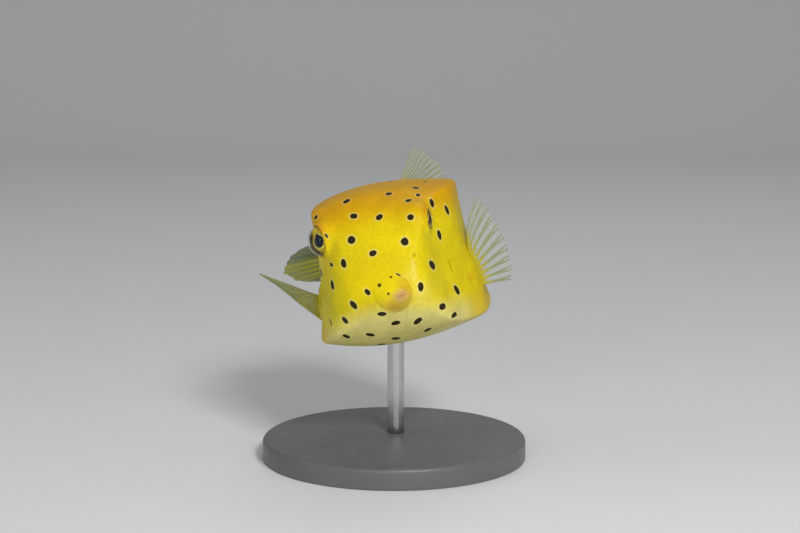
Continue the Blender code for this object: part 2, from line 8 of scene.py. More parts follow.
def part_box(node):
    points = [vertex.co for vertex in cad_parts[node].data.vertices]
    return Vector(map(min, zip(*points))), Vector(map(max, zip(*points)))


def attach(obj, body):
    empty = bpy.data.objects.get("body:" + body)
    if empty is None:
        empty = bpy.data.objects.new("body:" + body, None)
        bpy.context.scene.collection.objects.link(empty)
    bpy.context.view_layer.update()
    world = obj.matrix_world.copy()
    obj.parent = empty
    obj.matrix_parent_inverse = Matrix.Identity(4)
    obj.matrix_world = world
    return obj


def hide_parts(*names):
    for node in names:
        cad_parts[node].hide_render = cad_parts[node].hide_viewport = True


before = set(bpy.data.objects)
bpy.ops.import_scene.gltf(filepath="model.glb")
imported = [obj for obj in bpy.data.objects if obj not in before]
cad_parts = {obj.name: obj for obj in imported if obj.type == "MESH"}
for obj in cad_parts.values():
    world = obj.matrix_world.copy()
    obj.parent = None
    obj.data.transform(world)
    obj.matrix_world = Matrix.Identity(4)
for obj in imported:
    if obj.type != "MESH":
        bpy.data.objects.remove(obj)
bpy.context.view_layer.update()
print("frame loaded:", len(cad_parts), "nodes")

mm = 0.001
pose = dict(bank=10.8, yaw=6.5, height=38.0)  # degrees, degrees, mm above the floor
view = dict(elevation=8.5, distance=353.8, field=24.0, shiftX=0.0074, shiftY=-0.0091,
            sensor=36.0, near=0.01)  # degrees, mm, shares; the nearest distance seen is in metres
upright = np.array([0.0, 0.0, 1.0])
far = 99.0  # mm, beyond anything on the fish
tiny = 1e-9  # keeps a division from failing


def placeFish(points):
    # banked about the long axis, turned about the upright, lifted, then mm to metres
    bank, yaw = math.radians(pose["bank"]), math.radians(pose["yaw"])
    x, y, z = points[..., 0], points[..., 1], points[..., 2]
    bankedX = x * math.cos(bank) - z * math.sin(bank)
    bankedZ = x * math.sin(bank) + z * math.cos(bank)
    turnedX = bankedX * math.cos(yaw) + y * math.sin(yaw)
    turnedY = y * math.cos(yaw) - bankedX * math.sin(yaw)
    return np.stack([turnedX, turnedY, bankedZ + pose["height"]], axis=-1) * mm


def smoothStep(value, low, high):
    # nought below low, one above high, an S between them
    share = np.clip((value - low) / (high - low), 0.0, 1.0)
    return share * share * (3.0 - 2.0 * share)


def softRise(value, blend):
    # the value itself where it is above nought, easing to nothing below
    return blend * np.logaddexp(0.0, value / blend)


def bell(value, width):
    # one at nought, falling away on both sides as a Gaussian of this width
    return np.exp(-((value / width) ** 2))


def unit(vectors):
    # the same directions at length one
    return vectors / np.linalg.norm(vectors, axis=-1, keepdims=True)


def wholeTurn(steps):
    # a whole turn in even steps, in radians
    return 2.0 * math.pi * np.arange(steps) / steps


def gridFaces(rows, columns, closed=False):
    # quads between neighbouring rows and columns of a grid, round to the first column if closed
    i = np.arange(rows - 1)[:, None] * columns
    j = np.arange(columns if closed else columns - 1)[None, :]
    k = (j + 1) % columns
    return np.stack([i + j, i + k, i + columns + k, i + columns + j], axis=-1).reshape(-1, 4)


def signedVolume(points, quads, fans):
    # six times the volume inside, below nought where the faces point inwards
    corners = np.concatenate([quads[:, [0, 1, 2]], quads[:, [0, 2, 3]], fans])
    a, b, c = points[corners[:, 0]], points[corners[:, 1]], points[corners[:, 2]]
    return float(np.einsum("ij,ij->i", a, np.cross(b, c)).sum())


def addToScene(name, data):
    made = bpy.data.objects.new(name, data)
    bpy.context.scene.collection.objects.link(made)
    return made


def makeObject(name, points, quads, fans, look, replaced=()):
    # one closed mesh in metres, turned so that its faces point outwards
    if signedVolume(points - points.mean(0), quads, fans) < 0:
        quads, fans = quads[:, ::-1], fans[:, ::-1]
    mesh = bpy.data.meshes.new(name)
    mesh.from_pydata(points.tolist(), [], quads.tolist() + fans.tolist())
    mesh.shade_smooth()
    mesh.validate()
    mesh.materials.append(look)
    made = addToScene(name, mesh)
    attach(made, "root")
    if replaced:
        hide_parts(*replaced)
    return made


def addField(made, name, values):
    # one number for each point
    field = made.data.attributes.new(name, "FLOAT", "POINT")
    field.data.foreach_set("value", np.ascontiguousarray(values, np.float32).ravel())


def addTint(made, name, colours):
    # one colour for each point, in linear light
    tint = made.data.attributes.new(name, "FLOAT_COLOR", "POINT")
    opaque = np.ones((len(colours), 1))
    tint.data.foreach_set("color", np.concatenate([colours, opaque], axis=1).astype(np.float32).ravel())


def closedTube(rings):
    # points, quads and end fans of a closed body over rings of points
    count, around = rings.shape[:2]
    points = np.concatenate([rings.reshape(-1, 3), [rings[0].mean(0)], [rings[-1].mean(0)]])
    j = np.arange(around)
    k = (j + 1) % around
    last = (count - 1) * around
    first = np.stack([np.full(around, count * around), k, j], axis=-1)
    end = np.stack([np.full(around, count * around + 1), last + j, last + k], axis=-1)
    return points, gridFaces(count, around, True), np.concatenate([first, end])


def newLook(name, **sockets):
    # a material with these values on its shader's own sockets
    look = bpy.data.materials.new(name)
    look.use_nodes = True
    shader = look.node_tree.nodes["Principled BSDF"]
    for socket, value in sockets.items():
        shader.inputs[socket.replace("_", " ")].default_value = value
    return look, look.node_tree, shader


def addNode(tree, kind, sockets=None, **settings):
    # a shader node whose sockets take a value or another node's output
    made = tree.nodes.new("ShaderNode" + kind)
    for key, value in settings.items():
        setattr(made, key, value)
    for socket, value in (sockets or {}).items():
        if isinstance(value, bpy.types.NodeSocket):
            tree.links.new(value, made.inputs[socket])
        else:
            made.inputs[socket].default_value = value
    return made


def feed(shader, socket, source):
    shader.id_data.links.new(source, shader.inputs[socket])


def ownPlace(tree):
    # the piece's own coordinates
    return addNode(tree, "TexCoord").outputs["Object"]


def noise(tree, scale, detail):
    sockets = {"Vector": ownPlace(tree), "Scale": scale, "Detail": detail}
    return addNode(tree, "TexNoise", sockets).outputs["Fac"]


def ramp(tree, value, low, high, bottom=0.0, top=1.0):
    # an S from bottom to top while the value goes from low to high
    sockets = {"Value": value, "From Min": low, "From Max": high, "To Min": bottom, "To Max": top}
    made = addNode(tree, "MapRange", sockets, interpolation_type="SMOOTHSTEP")
    return made.outputs["Result"]


cloudSpan = (0.3, 0.7)  # the noise values taken as none and all


def mottle(tree, scale, low, high, detail=2.0):
    # clouds spread from a low to a high value
    return ramp(tree, noise(tree, scale, detail), *cloudSpan, low, high)


def maths(tree, kind, first, second):
    return addNode(tree, "Math", {0: first, 1: second}, operation=kind).outputs[0]


def mixColour(tree, share, first, second, kind="MIX"):
    # from the first colour to the second by a share
    sockets = {0: share, 6: first, 7: second}
    return addNode(tree, "Mix", sockets, data_type="RGBA", blend_type=kind).outputs[2]


def field(tree, name, output="Fac"):
    return addNode(tree, "Attribute", attribute_name=name).outputs[output]


def bump(tree, shader, height, depth):
    made = addNode(tree, "Bump", {"Height": height, "Distance": depth})
    feed(shader, "Normal", made.outputs["Normal"])


case = dict(
    # the bony case: places along the body, bluntness of each end, and its ridges, in mm
    snoutPole=22.0, tailPole=-25.4, widest=-3.0, rim=-23.6,
    nosePower=3.0, rumpPower=2.5, profileSteps=900,
    dorsalHalf=13.4, ventralHalf=16.2, dorsalRidge=12.3, ventralRidge=-12.4, ridgeBlur=0.0065,
    crownRise=1.9, crownLean=0.3, bellySag=2.5,
    flankHollow=0.9, templeHollow=0.4, templeOver=(3.0, 13.0),
    headNarrowing=0.12, narrowOver=(0.0, 15.0), headDrift=-1.2, driftOver=(1.0, 13.0),
    roundHalf=12.6, noseRoundOver=(0.25, 0.85), rumpRound=0.8, rumpRoundOver=(0.35, 0.9), rumpCentre=0.2,
    faceSlope=0.24, chinSlope=0.24, slopeOver=(2.0, 21.0),
)
skinGrid = dict(ringSteps=720, stride=2, poleGap=0.06, mouthStep=0.12, mouthReach=4.0,
                headStep=0.2, headTo=3.0, torsoStep=0.42, probe=(0.05, 0.02))


def bluntEnd(power, pole):
    # a superellipse quarter from the widest section to a pole: distance along it, place, and girth as a share
    turn = np.linspace(0.0, math.pi / 2, case["profileSteps"])
    forward = case["widest"] + np.sin(turn) ** (2.0 / power) * (pole - case["widest"])
    size = np.cos(turn) ** (2.0 / power)
    steps = np.hypot(np.diff(forward), np.diff(size) * case["roundHalf"])
    return np.concatenate([[0.0], np.cumsum(steps)]), forward, size


# both ends in one table, from the tail's pole to the snout's
noseStations, noseForward, noseSize = bluntEnd(case["nosePower"], case["snoutPole"])
rumpStations, rumpForward, rumpSize = bluntEnd(case["rumpPower"], case["tailPole"])
profileStations = np.concatenate([-rumpStations[:0:-1], noseStations])
profileForward = np.concatenate([rumpForward[:0:-1], noseForward])
profileSize = np.concatenate([rumpSize[:0:-1], noseSize])
noseEnd = noseStations[-1]


def stationAt(forward):
    # distance along the profile, from the widest section, of a place along the body
    return float(np.interp(forward, profileForward, profileStations))


def boxRing(forward, steps):
    # the four-ridged box: straight sides between the ridges, each bowed by a parabola
    turn = np.arange(steps) * 4.0 / steps
    side = np.floor(turn).astype(int)
    share = turn - side
    bow = 4.0 * share * (1.0 - share)
    forward = forward[:, None]
    narrow = 1.0 - case["headNarrowing"] * smoothStep(forward, *case["narrowOver"])
    top, low = case["dorsalHalf"] * narrow, case["ventralHalf"] * narrow
    cornersX = np.concatenate([top, -top, -low, low, top], axis=1)
    high, deep = case["dorsalRidge"], case["ventralRidge"]
    cornersZ = np.array([high, high, deep, deep, high])
    x = cornersX[:, side] * (1.0 - share) + cornersX[:, side + 1] * share
    z = cornersZ[side] * (1.0 - share) + cornersZ[side + 1] * share
    hollow = case["flankHollow"] + case["templeHollow"] * smoothStep(forward, *case["templeOver"])
    x = x + bow * hollow * ((side == 1) * 1.0 - (side == 3) * 1.0)
    lean = 1.0 + case["crownLean"] * (2.0 * share - 1.0)
    z = z + bow * (case["crownRise"] * lean * (side == 0) - case["bellySag"] * (side == 2))
    return x, z


def blurRing(values):
    # each ring softened along itself by a Gaussian, which rounds the ridges
    waves = np.fft.rfftfreq(values.shape[-1], 1.0 / values.shape[-1])
    soft = np.exp(-0.5 * (2.0 * math.pi * case["ridgeBlur"] * waves) ** 2)
    return np.fft.irfft(np.fft.rfft(values) * soft, n=values.shape[-1])


def caseRings(stations):
    # box sections that turn round and shrink to a pole at each end, leaning back above and below the mouth
    forward = np.interp(stations, profileStations, profileForward)
    size = np.interp(stations, profileStations, profileSize)
    ahead = np.asarray(stations) >= 0
    steps = skinGrid["ringSteps"]
    boxX, boxZ = boxRing(forward, steps)
    turn = math.pi / 4 + wholeTurn(steps)
    noseRound = 1.0 - smoothStep(size, *case["noseRoundOver"])
    rumpRound = case["rumpRound"] * (1.0 - smoothStep(size, *case["rumpRoundOver"]))
    roundShare = np.where(ahead, noseRound, rumpRound)[:, None]
    x = blurRing(boxX) * (1.0 - roundShare) + case["roundHalf"] * np.cos(turn) * roundShare
    z = blurRing(boxZ) * (1.0 - roundShare) + case["roundHalf"] * np.sin(turn) * roundShare
    size = size[:, None]
    poleX = np.where(ahead, mouth["side"], 0.0)[:, None]
    poleZ = np.where(ahead, mouth["height"], case["rumpCentre"])[:, None]
    drift = case["headDrift"] * smoothStep(forward, *case["driftOver"])[:, None]
    x = (x + drift) * size + poleX * (1.0 - size)
    z = z * size + poleZ * (1.0 - size)
    lean = smoothStep(forward, *case["slopeOver"])[:, None]
    above = np.sqrt((z - mouth["height"]) ** 2 + 1.0) - 1.0
    slope = np.where(z > mouth["height"], case["faceSlope"], case["chinSlope"])
    y = -(forward[:, None] - lean * slope * above)
    points = shapeMuzzle(np.stack([x, y, z], axis=-1), ahead)
    for eyeSide in (1.0, -1.0):
        for shape in (shapeOrbit, shapeNostril, shapeGill, shapeLobe):
            points = shape(points, eyeSide)
    return points


mouth = dict(
    side=3.6, height=-3.9, frontOver=(6.0, 14.0),  # the soft snout is drawn to the fish's left
    muzzleOffset=(-1.95, 0.75), muzzleReach=1.12, muzzleRadius=3.2, muzzlePower=2.6, steeper=1.3,
    steepOver=(0.0, 0.8),
    # the fold and the crease at the mound's foot: turn in degrees, and place as a share of its radius
    foldDepth=0.16, foldToward=-30.0, foldAt=1.12, foldWidth=0.4,
    creaseDepth=0.16, creaseToward=-146.0, creaseSpread=26.0, creaseAt=1.04, creaseWidth=0.3,
    lipsAt=(3.2, -3.7), lipRadius=0.75, lipSwell=0.24, lipWidth=0.75,
    wrinkles=11, wrinkleDepth=0.03, wrinkleWidth=0.5,
    lineHalf=0.8, lineDepth=0.12, lineWidth=0.13, lineSmile=0.12,
)


def fromMuzzle(points):
    # distance and turn about the middle of the muzzle, seen from ahead
    across = points[..., 0] - mouth["side"] - mouth["muzzleOffset"][0]
    up = points[..., 2] - mouth["height"] - mouth["muzzleOffset"][1]
    return np.hypot(across, up), np.degrees(np.arctan2(up, across))


def fromLips(x, z):
    return x - mouth["lipsAt"][0], z - mouth["lipsAt"][1]


def mouthLine(right, up, width):
    # one along the line between the lips, which curves up towards its ends
    return np.exp(-((right / mouth["lineHalf"]) ** 4)) * bell(up - mouth["lineSmile"] * right**2, width)


def shapeMuzzle(points, ahead):
    # a rounded mound, steeper on the lower left, folded at its foot, with a ring of lips and the mouth's line
    x, y, z = points[..., 0], points[..., 1], points[..., 2]
    front = ahead[:, None] * smoothStep(-y, *mouth["frontOver"])
    radius = mouth["muzzleRadius"]
    off, turn = fromMuzzle(points)
    steep = smoothStep(np.cos(np.radians(turn - mouth["foldToward"])), *mouth["steepOver"])
    power = mouth["muzzlePower"] + mouth["steeper"] * steep
    muzzle = mouth["muzzleReach"] * np.exp(-((off / radius) ** power))
    fold = mouth["foldDepth"] * steep * bell(off - mouth["foldAt"] * radius, mouth["foldWidth"])
    corner = bell((turn - mouth["creaseToward"] + 180.0) % 360.0 - 180.0, mouth["creaseSpread"])
    crease = mouth["creaseDepth"] * corner * bell(off - mouth["creaseAt"] * radius, mouth["creaseWidth"])
    right, up = fromLips(x, z)
    offLip = np.hypot(right, up) - mouth["lipRadius"]
    wrinkle = np.cos(mouth["wrinkles"] * np.arctan2(up, right)) * bell(offLip, mouth["wrinkleWidth"])
    lips = mouth["lipSwell"] * bell(offLip, mouth["lipWidth"]) * (1.0 + mouth["wrinkleDepth"] * wrinkle)
    slit = mouth["lineDepth"] * mouthLine(right, up, mouth["lineWidth"])
    return np.stack([x, y - front * (muzzle + lips - slit - fold - crease), z], axis=-1)


# Values in curly brackets are for the fish's left (1.0) and right (-1.0) eye.
eyes = dict(
    side={1.0: 6.9, -1.0: 9.93}, height={1.0: 7.7, -1.0: 7.17}, forward=12.4,
    openYaw={1.0: 84.0, -1.0: 60.0}, openAngle={1.0: 37.0, -1.0: 66.0},  # of the round between the lids
    browFlat={1.0: 3.0, -1.0: 0.5}, browToward=52.0, browSpread=42.0,  # drawn in by so much, at this turn
    gazeYaw={1.0: 96.0, -1.0: 27.0}, gazeRise={1.0: -8.0, -1.0: 7.0},
    lag=18.0,  # the bulb of the iris trails the line of gaze
    bulb=2.0, bulbAhead=0.8, globe=3.02, flare=(48.0, 82.0),
    corneaRadius=3.08, corneaRise=0.2, corneaSpread=0.95, corneaWall=0.06, corneaTuck=5.0,
    corneaPole=0.012, corneaRings=60, corneaAround=120,
)


def eyeCentre(eyeSide):
    return np.array([eyeSide * eyes["side"][eyeSide], -eyes["forward"], eyes["height"][eyeSide]])


def heading(eyeSide, yaw, rise=0.0):
    # a direction so many degrees from straight ahead on one side of the fish, and so many above level
    yaw, rise = math.radians(yaw), math.radians(rise)
    level = math.cos(rise)
    return np.array([eyeSide * math.sin(yaw) * level, -math.cos(yaw) * level, math.sin(rise)])


def openingAxes(eyeSide):
    # the way that the opening between the lids faces, and the level direction square to it, towards the front
    yaw = eyes["openYaw"][eyeSide]
    return heading(eyeSide, yaw), heading(eyeSide, yaw - 90.0)


def pastLids(eyeSide, arm):
    # degrees beyond the edge of the round between the lids, and the turn about its axis from the front
    axis, front = openingAxes(eyeSide)
    turn = np.degrees(np.arctan2(arm[..., 2], arm @ front))
    angle = np.degrees(np.arccos(np.clip(arm @ axis / np.linalg.norm(arm, axis=-1), -1, 1)))
    return angle - lidEdge(eyeSide, turn), turn


def lidEdge(eyeSide, turn):
    # degrees from the axis to the edge of the round, drawn in under the brow
    brow = bell(turn - eyes["browToward"], eyes["browSpread"])
    return eyes["openAngle"][eyeSide] - eyes["browFlat"][eyeSide] * brow


orbit = dict(
    # the dome round the eye in mm: each span runs from none to all, in degrees past the lids or mm out
    reach=3.2, blend=0.8, lidReach=3.5, lidSink=0.18, sinkOver=(12.0, 1.0),
    hugOver=(36.0, 5.0), hugReach=(6.2, 4.2),
    ripple=0.05, ripplePast=8.0, ripplePitch=8.0, rippleIn=(9.0, 14.0), rippleOut=(42.0, 26.0),
    rippleAt=3.0, rippleWidth=2.6,
    well=1.5, wellEdge=(1.5, -5.0), wellReach=(5.4, 4.6),
)


def shapeOrbit(points, eyeSide):
    # skin lifted into a dome round the eye, rippled by folds, and sunk into a well under the opening
    centre = eyeCentre(eyeSide)
    arm = points - centre
    distance = np.linalg.norm(arm, axis=-1)
    lifted = distance + softRise(orbit["reach"] - distance, orbit["blend"])
    past, _ = pastLids(eyeSide, arm)
    hug = smoothStep(past, *orbit["hugOver"]) * smoothStep(lifted, *orbit["hugReach"])
    besideLid = orbit["lidReach"] - orbit["lidSink"] * smoothStep(past, *orbit["sinkOver"])
    lifted = lifted * (1.0 - hug) + besideLid * hug
    near = np.exp(-(((distance - orbit["rippleAt"]) / orbit["rippleWidth"]) ** 4))
    wave = np.sin((past - orbit["ripplePast"]) / orbit["ripplePitch"] * 2.0 * math.pi)
    fade = smoothStep(past, *orbit["rippleIn"]) * smoothStep(past, *orbit["rippleOut"])
    sunk = smoothStep(past, *orbit["wellEdge"]) * smoothStep(lifted, *orbit["wellReach"])
    wanted = (lifted + orbit["ripple"] * wave * fade * near) * (1.0 - sunk) + orbit["well"] * sunk
    return centre + arm * (wanted / distance)[..., None]


nostril = dict(
    side=6.4, height=2.6, width=0.3, depth=0.3, ahead=(10.0, 13.0),
    rim=0.045, rimAt=1.8, rimWidth=0.8,  # its place and width as shares of the pit's width
)


def shapeNostril(points, eyeSide):
    # a small pit with a raised rim
    off = np.hypot(points[..., 0] - eyeSide * nostril["side"], points[..., 2] - nostril["height"])
    width = nostril["width"]
    rim = nostril["rim"] * bell(off - nostril["rimAt"] * width, nostril["rimWidth"] * width)
    front = smoothStep(-points[..., 1], *nostril["ahead"])
    moved = points.copy()
    moved[..., 1] += (nostril["depth"] * bell(off, width) - rim) * front
    return moved


gill = dict(
    forward=9.2, height=-1.9, length=2.8, bend=1.6, width=0.2, depth=0.34, ends=(0.5, 0.36),
    lip=0.14, lipBack=0.5, lipWidth=0.4, side=(7.0, 10.0),
)


def fromGill(y, z):
    # mm behind the curved line of the gill opening, and the share of its length above its middle
    along = (z - gill["height"]) / gill["length"]
    return y + gill["forward"] - gill["bend"] * along**2, along


def shapeGill(points, eyeSide):
    # a short curved slit low on the cheek, with its rear lip a little raised
    behind, along = fromGill(points[..., 1], points[..., 2])
    flank = smoothStep(eyeSide * points[..., 0], *gill["side"])
    groove = gill["depth"] * bell(behind, gill["width"])
    lip = gill["lip"] * bell(behind - gill["lipBack"], gill["lipWidth"])
    moved = points.copy()
    moved[..., 0] -= eyeSide * flank * smoothStep(np.abs(along), *gill["ends"]) * (groove - lip)
    return moved


lobe = dict(
    forward=0.6, height=-5.2, swell=0.8, spread=3.6, side=(6.0, 10.0),
    crease=0.08, creaseAt=1.12, creaseWidth=0.35, creaseOver=(0.2, 0.9),
    streak=0.05, streaks=22.0, streakFrom=4.0, streakAt=2.0, streakWidth=1.4,
)


def shapeLobe(points, eyeSide):
    # the fleshy root of the pectoral fin, with a crease ahead of it and streaks that run to the rays
    back, up = points[..., 1] + lobe["forward"], points[..., 2] - lobe["height"]
    root = np.hypot(back, up)
    swell = lobe["swell"] * np.exp(-((root / lobe["spread"]) ** 4))
    frontal = smoothStep(-back / np.maximum(root, tiny), *lobe["creaseOver"])
    crease = lobe["crease"] * frontal * bell(root - lobe["creaseAt"] * lobe["spread"], lobe["creaseWidth"])
    wave = np.cos(lobe["streaks"] * np.arctan2(up, back + lobe["streakFrom"]))
    streaks = lobe["streak"] * wave * bell(root - lobe["streakAt"], lobe["streakWidth"])
    flank = smoothStep(eyeSide * points[..., 0], *lobe["side"])
    moved = points.copy()
    moved[..., 0] += eyeSide * flank * (swell - crease + streaks)
    return moved


def pick(rings, places):
    # the points of each ring at the given places around it, whole numbers being the ridges
    steps = rings.shape[1]
    spot = np.asarray(places) * steps / 4.0
    low = np.floor(spot).astype(int) % steps
    share = (spot - np.floor(spot))[None, :, None]
    return rings[:, low] * (1.0 - share) + rings[:, (low + 1) % steps] * share


def skinPoint(forward, place):
    # a point of the skin and the direction that leaves it
    nearby = np.array([-1.0, 0.0, 1.0])
    along, around = skinGrid["probe"]
    spots = pick(caseRings(stationAt(forward) + along * nearby), place + around * nearby)
    out = unit(np.cross(spots[1, 2] - spots[1, 0], spots[2, 1] - spots[0, 1]))
    point = spots[1, 1]
    outwards = point[0] * out[0] + point[2] * out[2] > 0
    return point, out if outwards else -out


tail = dict(
    length=10.0, start=(2.9, 3.9), end=(1.3, 3.0), thinning=0.8,  # bare root: half width and half height
    bend=88.0, bendOver=9.0, droop=0.08, gap=0.3, rings=32, overshoot=0.5, traced=(0.0, 40.0, 801),
    # the skin's way in over the case's rear rim, in mm
    rimRings=12, rimLift=0.35, rimLiftOver=0.25, rimDepth=0.405, rimEase=0.5,
    tint=0.9, tintRows=(8.0, 40.0),
)


def tailPath(distance):
    # midline that curls to the fish's right by an S-shaped turn, and the direction across it
    fine = np.linspace(*tail["traced"])
    turn = math.radians(tail["bend"]) * smoothStep(fine, 0.0, tail["bendOver"])
    step = fine[1] - fine[0]
    x = -np.cumsum(np.sin(turn)) * step
    y = -case["rim"] + tail["gap"] + np.cumsum(np.cos(turn)) * step
    distance = np.asarray(distance, float)
    place = np.stack([np.interp(distance, fine, x), np.interp(distance, fine, y),
                      case["rumpCentre"] - tail["droop"] * distance], axis=-1)
    angle = np.interp(distance, fine, turn)
    side = np.stack([np.cos(angle), np.sin(angle), np.zeros_like(angle)], axis=-1)
    return place, side


def tailRings(distances, steps):
    # upright ovals along the path, flattening towards the fin
    share = distances / tail["length"]
    place, side = tailPath(distances)
    (wide, tall), (endWide, endTall) = tail["start"], tail["end"]
    wide = wide + (endWide - wide) * share ** tail["thinning"]
    tall = tall + (endTall - tall) * np.sin(np.minimum(share, 1.0) * math.pi / 2)
    turn = math.pi / 4 + wholeTurn(steps)
    flat = (wide[:, None] * np.cos(turn))[..., None] * side[:, None]
    return place[:, None] + flat + (tall[:, None] * np.sin(turn))[..., None] * upright


def skinRings():
    # rings from the mouth over the case, in over its rear rim and out along the root of the tail
    rim = stationAt(case["rim"])
    lipEnd, neck = noseEnd - skinGrid["mouthReach"], stationAt(skinGrid["headTo"])
    stations = np.concatenate([
        np.arange(noseEnd - skinGrid["poleGap"], lipEnd, -skinGrid["mouthStep"]),
        np.arange(lipEnd, neck, -skinGrid["headStep"]),
        np.arange(neck, rim, -skinGrid["torsoStep"]),
        [rim],
    ])
    body = caseRings(stations)[:, :: skinGrid["stride"]]
    root = tailRings(np.linspace(0.0, tail["length"] + tail["overshoot"], tail["rings"]), body.shape[1])
    fold = np.linspace(0.0, 1.0, tail["rimRings"])[1:-1, None, None]
    inward = body[-1] * (1.0 - fold) + root[0] * fold
    fold = fold[..., 0]
    dip = tail["rimDepth"] * np.sin(math.pi * fold) * (1.0 - tail["rimEase"] * smoothStep(fold, 0.0, 1.0))
    inward[..., 1] += tail["rimLift"] * smoothStep(fold, 0.0, tail["rimLiftOver"]) - dip
    return np.concatenate([body, inward, root]), len(body)


tints = dict(
    lemon=(0.74, 0.585, 0.004), golden=(0.66, 0.340, 0.001), flank=(0.60, 0.455, 0.003),
    cream=(0.68, 0.61, 0.20), olive=(0.58, 0.55, 0.006), corner=(0.66, 0.46, 0.006),
    # painted shade: the muzzle tint below is partly the snout's own orange and partly shade laid on the
    # mound's right side
    brow=(0.62, 0.25, 0.010), muzzle=(0.60, 0.33, 0.010), tan=(0.58, 0.34, 0.045),
    # painted shade: the fold tint on the line below darkens creases
    fold=(0.47, 0.20, 0.012), lips=(0.58, 0.36, 0.14), lipDots=(0.40, 0.16, 0.10),
    # painted shade: the first and the last tint on the line below darken the mouth's slit and the gill and
    # nostril pits
    slitShade=(0.22, 0.07, 0.035), tail=(0.52, 0.50, 0.01), pitShade=(0.16, 0.07, 0.005),
    lidEdge=(0.16, 0.045, 0.006),
)
lipDots = dict(first=(0.39, 0.64), second=(0.05, -0.19), third=(-0.62, 0.03), fourth=(-0.34, -0.38))  # mm
# Each row is a tint, how strong it is, the measures it rises over from one value to the other, and the
# measures it is a bell about, with the middle and the width. A measure with None is a share already.
bodyRows = (
    ("flank", 0.8, {"side": (9.0, 14.0), "back": (-12.0, 0.0)}, {}),
    ("golden", 1.0, {"crown": (6.5, 13.5)}, {}),
    ("cream", 1.0, {"under": None, "notRear": None}, {}),
    ("cream", 0.3, {"ahead": (10.0, 10.001)}, {"cheek": (0.0, 1.0)}),
    ("golden", 0.16, {"ahead": (10.0, 16.0)}, {"face": (0.0, 1.0)}),
    ("olive", 0.5, {"right": (6.0, 11.0), "below": (-3.0, 3.0), "notUnder": None}, {}),
    ("corner", 0.8, {"side": (12.2, 14.6), "below": (6.0, 9.5)}, {}),
)
browRows = {
    1.0: ("brow", 0.7, {"eye": (4.8, 3.8)}, {"past": (13.0, 8.5), "turn": (50.0, 30.0)}),
    -1.0: ("brow", 0.7, {"eye": (4.8, 3.8)}, {"past": (5.0, 8.5), "turn": (62.0, 46.0)}),
}
sideRows = (
    # painted shade under the lower lid, in its fold
    ("fold", 0.3, {"eye": (4.8, 3.8)}, {"past": (2.0, 5.0), "turn": (-80.0, 45.0)}),
    # painted shade in the crease ahead of the pectoral fin's root
    ("fold", 0.45, {"outward": (6.0, 10.0)}, {"finRoot": (0.0, 0.8)}),
    # painted shade in the gill's slit
    ("pitShade", 0.6, {"outward": (6.0, 10.0), "alongGill": (0.48, 0.38)}, {"behindGill": (0.0, 0.18)}),
    # painted shade in the nostril's pit
    ("pitShade", 0.5, {"ahead": (10.0, 10.001)}, {"nostril": (0.0, 0.24)}),
)
snout, mound = (12.0, 17.0), (3.52, 2.56)
snoutRows = (
    ("lemon", 0.7, {"ahead": snout, "off": mound}, {}),
    # the snout's orange on the mound's right side, partly its own colour and partly painted shade
    ("muzzle", 0.8, {"ahead": snout, "off": mound, "offAgain": (0.96, 2.56)}, {"about": (8.0, 42.0)}),
    # painted shade in the crease at the foot of the mound's steep side
    ("fold", 0.35, {"ahead": snout, "steep": (-0.3, 0.7)}, {"off": (3.328, 0.3)}),
    ("tan", 0.9, {"ahead": snout, "off": mound}, {"chin": (0.0, 1.6)}),
    ("lips", 0.8, {"ahead": snout, "lips": (1.6, 0.5)}, {}),
    *(("lipDots", 0.6, {"ahead": snout}, {dot: (0.0, 0.19)}) for dot in lipDots),
    # painted shade along the mouth's line between the lips
    ("slitShade", 0.4, {"ahead": snout, "line": None}, {}),
)


tintShapes = dict(
    # the pale underside, the crown, the rear, the fin's root and the mouth's line, in mm or shares
    underCurve=0.02, underOver=(3.4, 8.3), crownSpread=0.10, rearLoss=0.35, rearOver=(5.0, 20.0),
    finRoot=3.9, lineWidth=0.12,
)
# ovals on the body, and from the middle of the lips: middle, half width and half height in mm
bodyOvals = dict(cheek=(6.4, -4.2, 2.2, 2.0), face=(-1.5, 2.0, 6.0, 5.0))
lipOvals = dict(lipDots, chin=(-1.3, -2.0, 1.25, 1.0), lips=(0.0, 0.0, 1.25, 1.0))


def oval(across, up, middleX, middleZ, halfWidth=1.0, halfHeight=1.0):
    # distance from the middle of an oval as a share of its half width and half height
    return np.hypot((across - middleX) / halfWidth, (up - middleZ) / halfHeight)


def tintMeasures(points, eyeSide):
    # what the rows measure at each point, in mm, degrees or shares
    x, y, z = points[..., 0], points[..., 1], points[..., 2]
    arm = points - eyeCentre(eyeSide)
    past, turn = pastLids(eyeSide, arm)
    off, about = fromMuzzle(points)
    behindGill, alongGill = fromGill(y, z)
    right, up = fromLips(x, z)
    shapes = tintShapes
    under = smoothStep(-z - shapes["underCurve"] * x * x, *shapes["underOver"])
    ovals = {name: oval(x, z, *place) for name, place in bodyOvals.items()}
    ovals.update({name: oval(right, up, *place) for name, place in lipOvals.items()})
    return dict(
        ovals, side=np.abs(x), outward=eyeSide * x, right=-x, back=y, ahead=-y, below=-z,
        crown=z + shapes["crownSpread"] * np.abs(x), under=under, notUnder=1.0 - under,
        notRear=1.0 - shapes["rearLoss"] * smoothStep(y, *shapes["rearOver"]),
        eye=np.linalg.norm(arm, axis=-1), past=past, turn=turn,
        behindGill=behindGill, alongGill=np.abs(alongGill),
        finRoot=np.hypot(y + lobe["forward"] + shapes["finRoot"], z - lobe["height"]),
        nostril=np.hypot(x - eyeSide * nostril["side"], z - nostril["height"]),
        off=off, offAgain=off, about=about, steep=np.cos(np.radians(about - mouth["foldToward"])),
        line=mouthLine(right, up, shapes["lineWidth"]),
    )


def blendTint(colours, name, share):
    share = np.clip(share, 0.0, 1.0)[..., None]
    return colours * (1.0 - share) + np.array(tints[name]) * share


